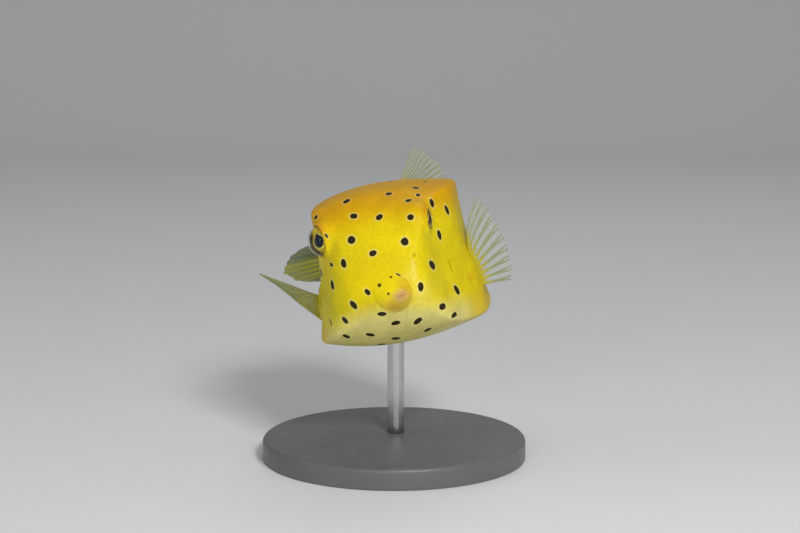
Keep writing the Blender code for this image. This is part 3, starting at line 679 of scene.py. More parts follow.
def paintSkin(points, onTail=0.0):
    # lemon all over, then each row's tint laid over the last, with the tail's own tint on its root
    colours = np.broadcast_to(np.array(tints["lemon"]), points.shape)
    for eyeSide, before, after in ((1.0, bodyRows, ()), (-1.0, (), snoutRows)):
        measures = tintMeasures(points, eyeSide)
        for name, share, rises, bells in (*before, browRows[eyeSide], *sideRows, *after):
            for key, span in rises.items():
                share = share * (measures[key] if span is None else smoothStep(measures[key], *span))
            for key, (middle, width) in bells.items():
                share = share * bell(measures[key] - middle, width)
            colours = blendTint(colours, name, share)
    return blendTint(colours, "tail", np.broadcast_to(onTail, points.shape[:-1]) * tail["tint"])


# Each is mm right of and above the middle of the body from the front camera, length, width and tilt there.
frontSpots = (
    (-0.5, 14.6, 1.1, 0.3, 0), (5.8, 14.6, 1.1, 0.3, -8), (4.1, 13.4, 1.5, 0.4, -12),
    (-1.0, 12.3, 1.3, 0.6, 8), (4.5, 12.1, 1.0, 0.8, -40), (2.7, 11.1, 1.2, 0.8, 5),
    (-8.9, 10.9, 1.5, 0.7, 28), (7.1, 10.6, 1.8, 0.8, -72), (9.9, 9.3, 2.0, 0.6, -68),
    (-14.7, 7.9, 1.1, 0.5, 55), (-7.6, 8.1, 1.5, 1.0, 0), (-2.8, 7.9, 1.5, 1.0, 35),
    (3.1, 7.9, 1.4, 1.2, 10), (-12.7, 4.4, 1.1, 0.5, -55), (-8.0, 3.6, 1.6, 1.5, 90),
    (2.0, 3.3, 1.6, 1.5, 90), (8.5, 4.6, 2.1, 0.7, -75), (-4.0, 1.1, 1.6, 1.1, 25),
    (13.1, 5.1, 0.8, 0.3, -70), (-11.8, -1.0, 1.1, 0.7, -42), (-9.5, -0.8, 1.8, 1.0, -80),
    (-13.7, -2.6, 1.8, 0.4, -80), (-11.6, -4.8, 2.0, 0.6, -80), (-5.0, -6.2, 1.4, 0.9, -55),
    (-7.6, -8.6, 1.9, 1.0, -52), (-9.2, -11.5, 1.7, 0.8, -48), (-11.9, -11.8, 1.6, 0.2, -75),
    (-9.0, -14.5, 1.7, 0.6, -20), (-4.5, -14.2, 1.8, 0.6, -8), (7.2, -1.1, 1.9, 1.0, -62),
    (0.8, -2.9, 1.2, 0.3, -27), (5.0, -5.2, 1.8, 1.1, 90), (11.8, -5.8, 2.0, 0.8, -62),
    (9.1, -8.9, 1.5, 1.2, 30), (11.4, -10.4, 1.8, 0.8, 42), (-2.3, -10.3, 1.8, 0.8, 0),
    (0.3, -12.0, 1.8, 0.8, 12), (4.5, -11.6, 2.0, 0.9, 38), (0.3, -14.9, 1.8, 0.5, 5),
    (6.3, -13.3, 1.8, 0.5, 28), (-2.3, -16.0, 1.8, 0.3, 3),
)
flecks = ((-0.6, -3.4, 0.5), (-1.1, -6.5, 0.52), (-2.7, -4.9, 0.8))  # mm right, above and across
spotRules = dict(
    depth=1.35,  # reach of a charted spot into the surface, as a share of its length
    faint=0.89, faintBy=0.5, faintOver=(0.7, 1.3),  # the shorter a spot is, the paler its middle
    facing=0.04, clearOfEyes=5.0, backFrom=21.5, squareness=6,
    noSpot=9.0,  # the share given where no spot is near
    # the scatter where the front camera doesn't see
    seed=23, tries=5000, spacing=4.5, uneven=0.12, wave=3.1, diameter=(1.35, 1.85),
)


def frontChart(points):
    # where the front camera sees each point, in mm across the plane through the middle of the body
    rise = math.radians(view["elevation"])
    toCamera = np.array([0.0, -math.cos(rise), math.sin(rise)])
    up = np.array([0.0, math.sin(rise), math.cos(rise)])
    arm = placeFish(points) / mm - np.array([0.0, 0.0, pose["height"]])
    scale = view["distance"] / (view["distance"] - arm @ toCamera)
    return arm[..., 0] * scale, (arm @ up) * scale, toCamera


def gridNormals(rings):
    # cross product of the steps along and around the grid
    along = np.gradient(rings, axis=0)
    around = np.roll(rings, -1, axis=1) - np.roll(rings, 1, axis=1)
    out = np.cross(around, along)
    out = out / np.maximum(np.linalg.norm(out, axis=-1, keepdims=True), tiny)
    middle = rings.mean(axis=1, keepdims=True)
    if (out * (rings - middle)).sum() < 0:
        out = -out
    return out


def spotPlaces(rings, caseRows):
    # the charted spots on the points nearest to them, then a seeded scatter with even spacing elsewhere
    flat = rings[:caseRows].reshape(-1, 3)
    normals = gridNormals(rings)[:caseRows].reshape(-1, 3)
    across, up, toCamera = frontChart(flat)
    hidden = (placeFish(flat + normals) / mm - placeFish(flat) / mm) @ toCamera < spotRules["facing"]

    def seenAt(spotX, spotZ):
        return flat[np.argmin(np.hypot(across - spotX, up - spotZ) + far * hidden)]

    places = [seenAt(spot[0], spot[1]) for spot in frontSpots]
    sizes = [spotRules["depth"] * spot[2] for spot in frontSpots]
    dots = [seenAt(fleck[0], fleck[1]) for fleck in flecks]
    draw = np.random.default_rng(spotRules["seed"])
    area = np.linalg.norm(np.cross(*np.gradient(rings[:caseRows], axis=(0, 1))), axis=-1).reshape(-1)
    offEyes = np.min([np.linalg.norm(flat - eyeCentre(side), axis=1) for side in (1.0, -1.0)], axis=0)
    area = area * hidden * (offEyes > spotRules["clearOfEyes"])
    for index in draw.choice(len(flat), spotRules["tries"], p=area / area.sum()):
        back = flat[index][1]
        nearest = np.linalg.norm(np.array(places) - flat[index], axis=1).min()
        nearest = nearest / (1.0 + spotRules["uneven"] * math.sin(spotRules["wave"] * back))
        if nearest > spotRules["spacing"] and back < spotRules["backFrom"]:
            places.append(flat[index])
            sizes.append(draw.uniform(*spotRules["diameter"]))
    return np.array(places), np.array(sizes), np.array(dots)


def addSpots(made, points, places, sizes, onTail=0.0):
    # for each point the distance to the nearest spot as a share of its radius, and to a plate's edge in mm
    across, up, _ = frontChart(points)
    shares = np.full(len(points), spotRules["noSpot"])
    nearest = np.full(len(points), far)
    second = np.full(len(points), far)
    power = spotRules["squareness"]
    for index, place in enumerate(places):
        gap = np.linalg.norm(points - place, axis=1)
        share = gap / (sizes[index] / 2)
        if index < len(frontSpots):
            spotX, spotZ, length, width, tilt = frontSpots[index]
            turn = math.radians(tilt)
            along = (across - spotX) * math.cos(turn) + (up - spotZ) * math.sin(turn)
            aside = (up - spotZ) * math.cos(turn) - (across - spotX) * math.sin(turn)
            # its outline from the front camera, kept round in depth
            seen = np.hypot(along / (length / 2), aside / (width / 2))
            share = (seen**power + share**power) ** (1 / power)
            pale = spotRules["faint"] - spotRules["faintBy"] * smoothStep(length, *spotRules["faintOver"])
            share = np.maximum(share, pale)
        shares = np.minimum(shares, share)
        second = np.minimum(second, np.maximum(nearest, gap))
        nearest = np.minimum(nearest, gap)
    addField(made, "spotShare", shares + spotRules["noSpot"] * onTail)
    addField(made, "plateEdge", second - nearest)


skinFinish = dict(
    core=(0.020, 0.013, 0.002, 1.0), coreMiddle=(0.034, 0.028, 0.012, 1.0), coreOver=(0.1, 0.75),
    halo=(0.78, 0.71, 0.30, 1.0), haloOver=(1.1, 1.75), haloShare=0.32, edgeOver=(0.86, 1.14),
    fleck=(0.034, 0.022, 0.002, 1.0), fleckOver=(0.3, 0.62, 0.97),
    plate=(0.50, 0.33, 0.01, 1.0), plateShare=0.10, plateWidth=0.5, seamWidth=0.7, seamDepth=-0.3,
    broadScale=260.0, broad=(0.93, 1.05), fineScale=1500.0, fine=(0.96, 1.04), wobbleScale=900.0, wobble=0.07,
    poreScale=2300.0, poreDepth=-0.25, waveScale=420.0, waveDepth=0.3, bump=0.00005,
    coatOver=(0.35, 0.75), coat=(0.11, 0.01),  # wetter where it faces the eye
)


def skinLook():
    # broad tint, spots with a pale ring, mottling at two sizes, fine grain, all under a thin wet coat
    look, tree, shader = newLook("boxfishSkin", Roughness=0.42, Coat_Roughness=0.3, Specular_IOR_Level=0.06,
                                 Subsurface_Weight=0.10, Subsurface_Scale=0.001)
    shader.inputs["Subsurface Radius"].default_value = (1.0, 0.6, 0.15)
    finish = skinFinish
    facing = addNode(tree, "LayerWeight", {"Blend": 0.5}).outputs["Facing"]
    feed(shader, "Coat Weight", ramp(tree, facing, *finish["coatOver"], *finish["coat"]))
    broad = mottle(tree, finish["broadScale"], *finish["broad"], 3.0)
    shade = maths(tree, "MULTIPLY", broad, mottle(tree, finish["fineScale"], *finish["fine"]))
    grey = addNode(tree, "CombineColor", {"Red": shade, "Green": shade, "Blue": shade})
    colour = mixColour(tree, 1.0, field(tree, "tint", "Color"), grey.outputs["Color"], "MULTIPLY")
    plate = ramp(tree, field(tree, "plateEdge"), 0.0, finish["plateWidth"], finish["plateShare"], 0.0)
    colour = mixColour(tree, plate, colour, finish["plate"])
    wobble = mottle(tree, finish["wobbleScale"], -finish["wobble"], finish["wobble"])
    share = maths(tree, "ADD", field(tree, "spotShare"), wobble)
    halo = ramp(tree, share, *finish["haloOver"], finish["haloShare"], 0.0)
    colour = mixColour(tree, halo, colour, finish["halo"])
    dark = mixColour(tree, ramp(tree, share, *finish["coreOver"]), finish["coreMiddle"], finish["core"])
    colour = mixColour(tree, ramp(tree, share, *finish["edgeOver"], 1.0, 0.0), colour, dark)
    feed(shader, "Base Color", colour)
    pores = addNode(tree, "TexVoronoi", {"Vector": ownPlace(tree), "Scale": finish["poreScale"]})
    grain = maths(tree, "MULTIPLY", pores.outputs["Distance"], finish["poreDepth"])
    waves = maths(tree, "MULTIPLY", noise(tree, finish["waveScale"], 1.0), finish["waveDepth"])
    seams = ramp(tree, field(tree, "plateEdge"), 0.0, finish["seamWidth"], finish["seamDepth"], 0.0)
    bump(tree, shader, maths(tree, "ADD", maths(tree, "ADD", grain, waves), seams), finish["bump"])
    return look


def addFlecks(look, dots):
    # round brown flecks, too small for the mesh, by the distance from each middle
    tree = look.node_tree
    shader = tree.nodes["Principled BSDF"]
    place = ownPlace(tree)
    low, high, most = skinFinish["fleckOver"]
    for dot, (_, _, size) in zip(placeFish(dots), flecks):
        away = addNode(tree, "VectorMath", {0: place, 1: tuple(dot)}, operation="DISTANCE")
        share = ramp(tree, away.outputs["Value"], low * size * mm, high * size * mm, most, 0.0)
        under = shader.inputs["Base Color"].links[0].from_socket
        feed(shader, "Base Color", mixColour(tree, share, under, skinFinish["fleck"]))


def fishSkin(look):
    # one closed skin from the mouth over the case and out along the root of the tail
    rings, caseRows = skinRings()
    places, sizes, dots = spotPlaces(rings, caseRows)
    addFlecks(look, dots)
    points, quads, fans = closedTube(rings)
    made = makeObject("skin", placeFish(points), quads, fans, look,
                      ("torso", "head", "lips", "tail_peduncle"))
    onTail = np.zeros(len(points))
    onTail[caseRows * rings.shape[1]: -2] = np.repeat(
        smoothStep(np.arange(len(rings) - caseRows), *tail["tintRows"]), rings.shape[1])
    addTint(made, "tint", paintSkin(points, onTail))
    addSpots(made, points, places, sizes, onTail)
    print("skin:", len(points), "points,", len(places), "spots")
    return places, sizes


def aboutAxis(centre, axis, angles, reach, around):
    # rings of a surface turned about an axis: reach from the centre at each angle from the axis
    across = unit(np.cross(upright, axis))
    over = np.cross(axis, across)
    turn = wholeTurn(around)
    flat = reach * np.sin(angles)
    rim = np.cos(turn)[:, None] * across + np.sin(turn)[:, None] * over
    return centre + (reach * np.cos(angles))[:, None, None] * axis + flat[:, None, None] * rim


lids = dict(
    around=180, across=60, blur=9.0,
    edge=(0.25, 0.65), edgeOver=(1.4, -1.0), edgeTurn=115.0, edgeSpread=55.0,  # the brown inner edge
    # degrees past the opening and reach from the eye's middle, round the section of the fold
    section=((-1.8, 2.95), (-1.2, 3.12), (-0.2, 3.24), (1.2, 3.33), (3.0, 3.385), (5.0, 3.425), (7.5, 3.455),
             (10.0, 3.46), (11.5, 3.38), (11.0, 3.15), (7.0, 2.9), (3.0, 2.75)),
)


def eyelid(eyeSide, label, look, places, sizes):
    # the fold of skin round the opening: a closed section, softened, carried round the socket's axis
    loop = np.array(lids["section"] + lids["section"][:1])
    across, around = lids["across"], lids["around"]
    fine = np.linspace(0.0, len(loop) - 1.0, across + 1)[:-1]
    soft = np.exp(-0.5 * (np.fft.rfftfreq(across, 1 / across) / lids["blur"]) ** 2)
    outline = [np.interp(fine, np.arange(len(loop)), loop[:, k]) for k in (0, 1)]
    past, reach = np.fft.irfft(np.fft.rfft(outline) * soft, n=across)
    turn = (np.linspace(0.0, 360.0, around, endpoint=False) + 180.0) % 360.0 - 180.0
    angle = np.radians(past[:, None] + lidEdge(eyeSide, turn))[..., None]
    axis, front = openingAxes(eyeSide)
    turn = np.radians(turn)[:, None]
    rim = np.cos(turn) * front + np.sin(turn) * upright
    rings = eyeCentre(eyeSide) + reach[:, None, None] * (np.cos(angle) * axis + np.sin(angle) * rim)
    points = rings.reshape(-1, 3)
    quads = gridFaces(across + 1, around, True) % len(points)
    made = makeObject("eyelid_" + label, placeFish(points), quads, np.zeros((0, 3), int), look)
    _, about = pastLids(eyeSide, points - eyeCentre(eyeSide))
    least, more = lids["edge"]
    inner = smoothStep(np.repeat(past, around), *lids["edgeOver"])
    inner = inner * (least + more * bell(about - lids["edgeTurn"], lids["edgeSpread"]))
    addTint(made, "tint", blendTint(paintSkin(points), "lidEdge", inner))
    addSpots(made, points, places, sizes)


iris = dict(
    halfWidth=1.04, halfHeight=1.12, apexToward=110.0, apex=0.44, apexPower=24, lens=0.16, lensOver=0.7,
    rings=150, around=180, poleGap=0.006, noPupil=9.0,
    # the shade in the corner of the opening, and the brown where the bulb turns outwards
    corner=0.9, cornerTurn={1.0: -18.0, -1.0: 130.0}, cornerSpread=45.0,
    cornerReach={1.0: (-38.0, -20.0), -1.0: (-12.0, -4.0)},
    outwardAngle=(51.0, 61.0), outwardTurn=0.35, outwardOver=(0.1, 0.8),
    streaks=9.0, streakScale=1.6, streakOver=(0.4, 0.8),
    gold=(0.72, 0.56, 0.006, 1.0), deep=(0.60, 0.36, 0.006, 1.0), edge=(0.060, 0.040, 0.004, 1.0),
    socket=(0.22, 0.07, 0.008, 1.0),
    # bands round the pupil's edge: from and to in mm, how strong, and the colour
    bands=((0.10, 0.26, 0.9, (0.84, 0.76, 0.22, 1.0)), (-0.02, 0.07, 1.0, (0.006, 0.008, 0.006, 1.0)),
           (-0.5, -0.12, 1.0, (0.008, 0.016, 0.022, 1.0))),
)


def irisLook():
    # yellow streaked with orange, brown where it turns outwards, a pale ring and a black rim round the pupil,
    # and painted brown-red shade in the corner of the opening
    look, tree, shader = newLook("boxfishIris", Roughness=0.35, Specular_IOR_Level=0.25,
                                 Coat_Weight=0.1, Coat_Roughness=0.1)
    turn, fromPupil = field(tree, "turn"), field(tree, "fromPupil")
    around = maths(tree, "MULTIPLY", turn, iris["streaks"])
    spread = addNode(tree, "CombineXYZ", {"X": around, "Y": fromPupil}).outputs[0]
    sockets = {"Vector": spread, "Scale": iris["streakScale"], "Detail": 4.0}
    streaks = addNode(tree, "TexNoise", sockets).outputs["Fac"]
    streak = ramp(tree, streaks, *iris["streakOver"])
    colour = mixColour(tree, streak, iris["gold"], iris["deep"])
    colour = mixColour(tree, field(tree, "outward"), colour, iris["edge"])
    for low, high, share, tint in iris["bands"]:
        colour = mixColour(tree, ramp(tree, fromPupil, low, high, share, 0.0), colour, tint)
    # painted shade: the corner of the opening darkened to brown-red, with the brown-red of the margin under
    # the lid
    feed(shader, "Base Color", mixColour(tree, field(tree, "shade"), colour, iris["socket"]))
    return look


def bulbRings(eyeSide):
    # a small sphere set ahead in the globe, flaring out to the globe's own sphere behind it
    centre, axis = eyeCentre(eyeSide), heading(eyeSide, eyes["gazeYaw"][eyeSide] - eyes["lag"])
    angles = np.linspace(iris["poleGap"], math.pi - iris["poleGap"], iris["rings"])
    ahead = eyes["bulbAhead"]
    bulb = ahead * np.cos(angles) + np.sqrt(eyes["bulb"] ** 2 - (ahead * np.sin(angles)) ** 2)
    flare = smoothStep(np.degrees(angles), *eyes["flare"])
    rings = aboutAxis(centre, axis, angles, bulb * (1.0 - flare) + eyes["globe"] * flare, iris["around"])
    return rings, centre + ahead * axis, angles


def eyeball(eyeSide, label, look):
    # the bulb of the iris, with a tall pupil drawn out to a point above
    rings, middle, angles = bulbRings(eyeSide)
    gaze = heading(eyeSide, eyes["gazeYaw"][eyeSide], eyes["gazeRise"][eyeSide])
    across = unit(np.cross(upright, gaze)) * -eyeSide
    arm = rings - middle
    right, up, ahead = arm @ across, arm @ np.cross(gaze, across) * -eyeSide, arm @ gaze
    turn = np.arctan2(up, right)
    toward = np.maximum(np.cos(turn - math.radians(iris["apexToward"])), 0.0)
    edge = 1.0 / np.hypot(np.cos(turn) / iris["halfWidth"], np.sin(turn) / iris["halfHeight"])
    edge = edge + iris["apex"] * toward ** iris["apexPower"]
    fromPupil = np.where(ahead > 0, np.hypot(right, up) - edge, iris["noPupil"])
    rings = rings + (iris["lens"] * smoothStep(-fromPupil, 0.0, iris["lensOver"]))[..., None] * gaze
    points, quads, fans = closedTube(rings)
    made = makeObject("globe_" + label, placeFish(points), quads, fans, look, ("eye_" + label,))
    outward = smoothStep(np.degrees(angles), *iris["outwardAngle"])[:, None]
    outward = outward * smoothStep(-np.cos(turn - iris["outwardTurn"]), *iris["outwardOver"])
    past, about = pastLids(eyeSide, rings - eyeCentre(eyeSide))
    # painted shade in the corner of the opening, stored as a field for the iris's colour
    shade = iris["corner"] * bell(about - iris["cornerTurn"][eyeSide], iris["cornerSpread"])
    shade = shade * smoothStep(past, *iris["cornerReach"][eyeSide])
    addField(made, "fromPupil", np.append(fromPupil, [fromPupil[0].mean(), iris["noPupil"]]))
    for name, values in (("turn", turn), ("outward", outward), ("shade", shade)):
        addField(made, name, np.append(values, [0.0, 0.0]))


def cornea(eyeSide, label, look):
    # a clear cap over the opening, bulging a little at its middle, out over and back under a thin wall
    centre, (axis, _) = eyeCentre(eyeSide), openingAxes(eyeSide)
    last = math.radians(eyes["openAngle"][eyeSide] + eyes["corneaTuck"])
    angles = np.linspace(eyes["corneaPole"], last, eyes["corneaRings"])
    outer = eyes["corneaRadius"] + eyes["corneaRise"] * np.exp(-((angles / eyes["corneaSpread"]) ** 4))
    inner = outer[::-1] - eyes["corneaWall"]
    shell = [aboutAxis(centre, axis, turned, reach, eyes["corneaAround"])
             for turned, reach in ((angles, outer), (angles[::-1], inner))]
    points, quads, fans = closedTube(np.concatenate(shell))
    makeObject("cornea_" + label, placeFish(points), quads, fans, look)


fins = dict(
    # thicknesses in mm, and places along a ray as shares of its length
    ray=0.42, membrane=0.12, tip=0.09, tipRay=0.10, thinFrom=0.45, edge=0.24, edgeThin=0.45, sink=0.12,
    perRay=16, rows=64, rayWidth=(0.17, 0.07), fork=0.22, forkSpread=0.17,
    joints=26, jointDepth=0.10, jointsFrom=(0.15, 0.3), scallop=0.02, uneven=0.02, unevenFrom=0.5,
    overrun=0.06, rootGap=0.42, rootPlaces=9, rimColumns=7, rimOver=0.35,
)


def rootLine(first, last):
    # places on the skin between two (forward, place around) ends, a gap clear of it
    shares = np.linspace(-fins["overrun"], 1.0 + fins["overrun"], fins["rootPlaces"])
    found = [skinPoint(*(np.array(first) + (np.array(last) - first) * share)) for share in shares]
    return shares, np.array([point + out * fins["rootGap"] for point, out in found])


def fan(root, aims, lengths, curls):
    # rays leave the root line in directions that turn from the first aim to the second, and curl outwards
    marks, line = rootLine(*root)
    leading, trailing = unit(np.array(aims[0])), unit(np.array(aims[1]))
    first, middle, last = lengths

    def surface(share, row):
        share, row = np.broadcast_arrays(share, row)
        turn = share[..., None]
        aim = unit(leading * (1.0 - turn) + trailing * turn)
        reach = first * (1 - share) + last * share + (middle - (first + last) / 2) * 4 * share * (1 - share)
        start = np.stack([np.interp(share, marks, line[:, k]) for k in range(3)], axis=-1)
        curl = np.array(curls[0]) * (1.0 - turn) + np.array(curls[1]) * turn
        return start + reach[..., None] * (aim * row[..., None] + curl * (row * np.abs(row))[..., None])

    return surface


caudal = dict(length=20.5, spread=6.0, rounding=0.34, rootInset=0.4)


def tailFan(share, row):
    # the tail fin, half closed, on the curl of the tail
    share, row = np.broadcast_arrays(share, row)
    spread = math.radians(caudal["spread"]) * (1.0 - 2.0 * share)
    reach = caudal["length"] * (1.0 - caudal["rounding"] * (1.0 - 2.0 * share) ** 2) * row
    place, _ = tailPath(tail["length"] + tail["gap"] + reach * np.cos(spread))
    height = (tail["end"][1] - caudal["rootInset"]) * (1.0 - 2.0 * share) + reach * np.sin(spread)
    return place + height[..., None] * upright


def rayHeight(across, row):
    # each ray is a rounded ridge that thins outwards and parts into two branches
    part = fins["forkSpread"] * smoothStep(row, fins["fork"], 1.0)
    wide, thinning = fins["rayWidth"]
    width = wide - thinning * row
    return np.minimum(bell(across - part, width) + bell(across + part, width), 1.0)


def finSheet(name, rays, surface, look, node, seed):
    # one closed thin sheet over (share across the fan, row outwards), thickened along its normal
    edge = fins["edge"] / (rays - 1)
    columns = np.linspace(-edge, 1.0 + edge, (rays - 1) * fins["perRay"] + fins["rimColumns"])[None, :]
    rows = np.linspace(-fins["sink"], 1.0, fins["rows"])[:, None]
    draw = np.random.default_rng(seed)
    lengths = draw.uniform(-fins["uneven"], fins["uneven"], rays)
    along = columns * (rays - 1)
    across = along - np.round(np.clip(along, 0, rays - 1))
    # the rim dips between the rays, which are a little uneven in length
    dip = fins["scallop"] * (2.0 * np.abs(across)) ** 2 - np.interp(along, np.arange(rays), lengths)
    reachRows = rows * (1.0 - dip * smoothStep(rows, fins["unevenFrom"], 1.0))
    middle = surface(columns, reachRows)
    small = 1e-3
    ahead = surface(columns, reachRows + small) - surface(columns, reachRows - small)
    sideways = surface(columns + small, reachRows) - surface(columns - small, reachRows)
    out = unit(np.cross(sideways, ahead))
    ridge = rayHeight(across, rows)
    taper = 1.0 - smoothStep(rows, fins["thinFrom"], 1.0)
    ring = 0.5 + 0.5 * np.cos(rows * 2.0 * math.pi * fins["joints"])
    joints = 1.0 - fins["jointDepth"] * ring * smoothStep(rows, *fins["jointsFrom"])
    thick = fins["tip"] + taper * (fins["membrane"] - fins["tip"])
    proud = fins["ray"] - fins["membrane"] - fins["tipRay"]
    thick = thick + ridge * joints * (fins["tipRay"] + taper * proud)
    rimward = np.minimum(columns - columns.min(), columns.max() - columns) / edge
    thick = thick * (fins["edgeThin"] + (1.0 - fins["edgeThin"]) * smoothStep(rimward, 0.0, fins["rimOver"]))
    half = (thick / 2.0)[..., None]
    height, width = middle.shape[:2]
    points = np.concatenate([(middle + out * half).reshape(-1, 3), (middle - out * half).reshape(-1, 3)])
    back = height * width
    front = gridFaces(height, width)
    rim = np.concatenate([
        np.arange(width), np.arange(1, height) * width + width - 1,
        (height - 1) * width + np.arange(width - 2, -1, -1), np.arange(height - 2, 0, -1) * width])
    after = np.roll(rim, -1)
    walls = np.stack([rim, rim + back, after + back, after], axis=-1)
    quads = np.concatenate([front, front[:, ::-1] + back, walls])
    made = makeObject(name, placeFish(points), quads, np.zeros((0, 3), int), look, (node,))
    for label, values in (("ray", ridge), ("row", rows), ("share", columns)):
        addField(made, label, np.tile(np.broadcast_to(values, ridge.shape).ravel(), 2))
    print("fin:", name)


finFinishes = dict(
    # colours, how solid the membrane and the rays are, and how far out the fleshy root reaches
    clearFin=dict(ray=(0.30, 0.34, 0.15, 1.0), membrane=(0.50, 0.54, 0.42, 1.0), root=(0.50, 0.42, 0.01, 1.0),
                  membraneAlpha=0.18, rayAlpha=0.85, rootReach=0.34),
    sideFin=dict(ray=(0.28, 0.31, 0.06, 1.0), membrane=(0.36, 0.40, 0.16, 1.0), root=(0.44, 0.41, 0.01, 1.0),
                 membraneAlpha=0.52, rayAlpha=0.92, rootReach=0.75),
)


finSheen = dict(
    # streaks in the membrane, where the rays' colour shows, the fleshy root and the fading tip
    streakScale=1700.0, streak=0.08, rayOver=(0.25, 0.85), rayFlesh=0.12, rootFrom=-0.1,
    fadeOver=(0.3, 1.0), tipShare=0.6, fleshFrom=-0.08, fleshShare=0.4,
)


def finLook(name, finish):
    # coloured rays, fading outwards, in a clear membrane, fleshy and solid only at the root
    look, tree, shader = newLook(name, Roughness=0.32, Coat_Weight=0.12, Coat_Roughness=0.15, IOR=1.36)
    ray, row = field(tree, "ray"), field(tree, "row")
    sheen = finSheen
    streak = mottle(tree, sheen["streakScale"], -sheen["streak"], sheen["streak"], 3.0)
    solid = ramp(tree, maths(tree, "ADD", ray, streak), *sheen["rayOver"])
    fleshy = maths(tree, "SUBTRACT", row, maths(tree, "MULTIPLY", ray, sheen["rayFlesh"]))
    colour = mixColour(tree, solid, finish["membrane"], finish["ray"])
    root = ramp(tree, fleshy, sheen["rootFrom"], finish["rootReach"], 1.0, 0.0)
    feed(shader, "Base Color", mixColour(tree, root, colour, finish["root"]))
    thin = ramp(tree, row, *sheen["fadeOver"], finish["rayAlpha"], finish["rayAlpha"] * sheen["tipShare"])
    seen = addNode(tree, "Mix", {0: solid, 2: finish["membraneAlpha"], 3: thin}, data_type="FLOAT")
    flesh = ramp(tree, fleshy, sheen["fleshFrom"], sheen["fleshShare"] * finish["rootReach"], 1.0, 0.0)
    feed(shader, "Alpha", maths(tree, "MAXIMUM", seen.outputs[0], flesh))
    return look


tailFinish = dict(
    middle=((0.28, 0.29, 0.006, 1.0), (0.52, 0.51, 0.010, 1.0)),  # membrane and rays
    upper=((0.07, 0.10, 0.008, 1.0), (0.17, 0.21, 0.02, 1.0)), upperOver=(0.30, 0.45),
    lower=(0.16, 0.17, 0.015, 1.0), lowerOver=(0.87, 0.92), root=(0.52, 0.50, 0.01, 1.0),
    rootOver=(0.0, 0.25), rootShare=0.8, rayOver=(0.2, 0.9), solidOver=(0.1, 0.9), solid=(0.84, 0.98),
    fadeOver=(0.6, 1.0), fade=0.22, upperClear=0.06,
)


def tailFinLook():
    # a bright yellow-green band between a darker, clearer upper part and a dark lowest ray
    look, tree, shader = newLook("tailFin", Roughness=0.3, Coat_Weight=0.3, Coat_Roughness=0.1, IOR=1.36)
    ray, row, share = field(tree, "ray"), field(tree, "row"), field(tree, "share")
    finish = tailFinish
    upper = ramp(tree, share, *finish["upperOver"], 1.0, 0.0)
    onRay = ramp(tree, ray, *finish["rayOver"])
    colour = mixColour(tree, onRay, *finish["middle"])
    colour = mixColour(tree, upper, colour, mixColour(tree, onRay, *finish["upper"]))
    colour = mixColour(tree, ramp(tree, share, *finish["lowerOver"]), colour, finish["lower"])
    root = ramp(tree, row, *finish["rootOver"], finish["rootShare"], 0.0)
    feed(shader, "Base Color", mixColour(tree, root, colour, finish["root"]))
    solid = ramp(tree, ray, *finish["solidOver"], *finish["solid"])
    faded = maths(tree, "SUBTRACT", solid, ramp(tree, row, *finish["fadeOver"], 0.0, finish["fade"]))
    clearer = maths(tree, "MULTIPLY", upper, finish["upperClear"])
    feed(shader, "Alpha", maths(tree, "SUBTRACT", faded, clearer))
    return look


stand = dict(
    radius=25.0, thickness=4.0, bevel=0.8, foot=0.25, around=160,
    topRings=(20.0, 12.0, 5.0, 2.4), footRings=(2.0, 14.0),
    rodRadius=1.6, rodForward=-3.0, rodSink=0.2, rodInto=0.5, rodRings=12,
    grey=((0.105, 0.108, 0.112, 1.0), (0.125, 0.128, 0.132, 1.0)), steel=(0.56, 0.57, 0.58, 1.0),
    cloudScale=60.0, roughScale=900.0, roughness=(0.42, 0.52), grainScale=3500.0, grain=0.00002,
    brushed=(9000.0, 9000.0, 250.0), steelRoughness=(0.2, 0.36), bevelSteps=12,
)


def lathe(name, profile, centre, look, node):
    # a profile of (radius, height) in mm turned about an upright through the centre
    turn = wholeTurn(stand["around"])
    radius, height = np.array(profile).T
    rings = np.stack([
        centre[0] + radius[:, None] * np.cos(turn), centre[1] + radius[:, None] * np.sin(turn),
        np.broadcast_to(height[:, None], (len(radius), len(turn)))], axis=-1)
    points, quads, fans = closedTube(rings)
    makeObject(name, points * mm, quads, fans, look, (node,))


def standLook():
    # satin grey plastic with faint clouds and a fine grain
    look, tree, shader = newLook("standGrey", Coat_Weight=0.15, Coat_Roughness=0.3)
    clouds = mottle(tree, stand["cloudScale"], 0.0, 1.0, 3.0)
    feed(shader, "Base Color", mixColour(tree, clouds, *stand["grey"]))
    feed(shader, "Roughness", mottle(tree, stand["roughScale"], *stand["roughness"]))
    bump(tree, shader, noise(tree, stand["grainScale"], 2.0), stand["grain"])
    return look


def rodLook():
    # steel brushed along its length
    look, tree, shader = newLook("standRodSteel", Base_Color=stand["steel"], Metallic=1.0)
    drawn = addNode(tree, "Mapping", {"Vector": ownPlace(tree), "Scale": stand["brushed"]})
    lines = addNode(tree, "TexNoise", {"Vector": drawn.outputs[0], "Scale": 1.0, "Detail": 2.0})
    feed(shader, "Roughness", ramp(tree, lines.outputs["Fac"], *cloudSpan, *stand["steelRoughness"]))
    return look


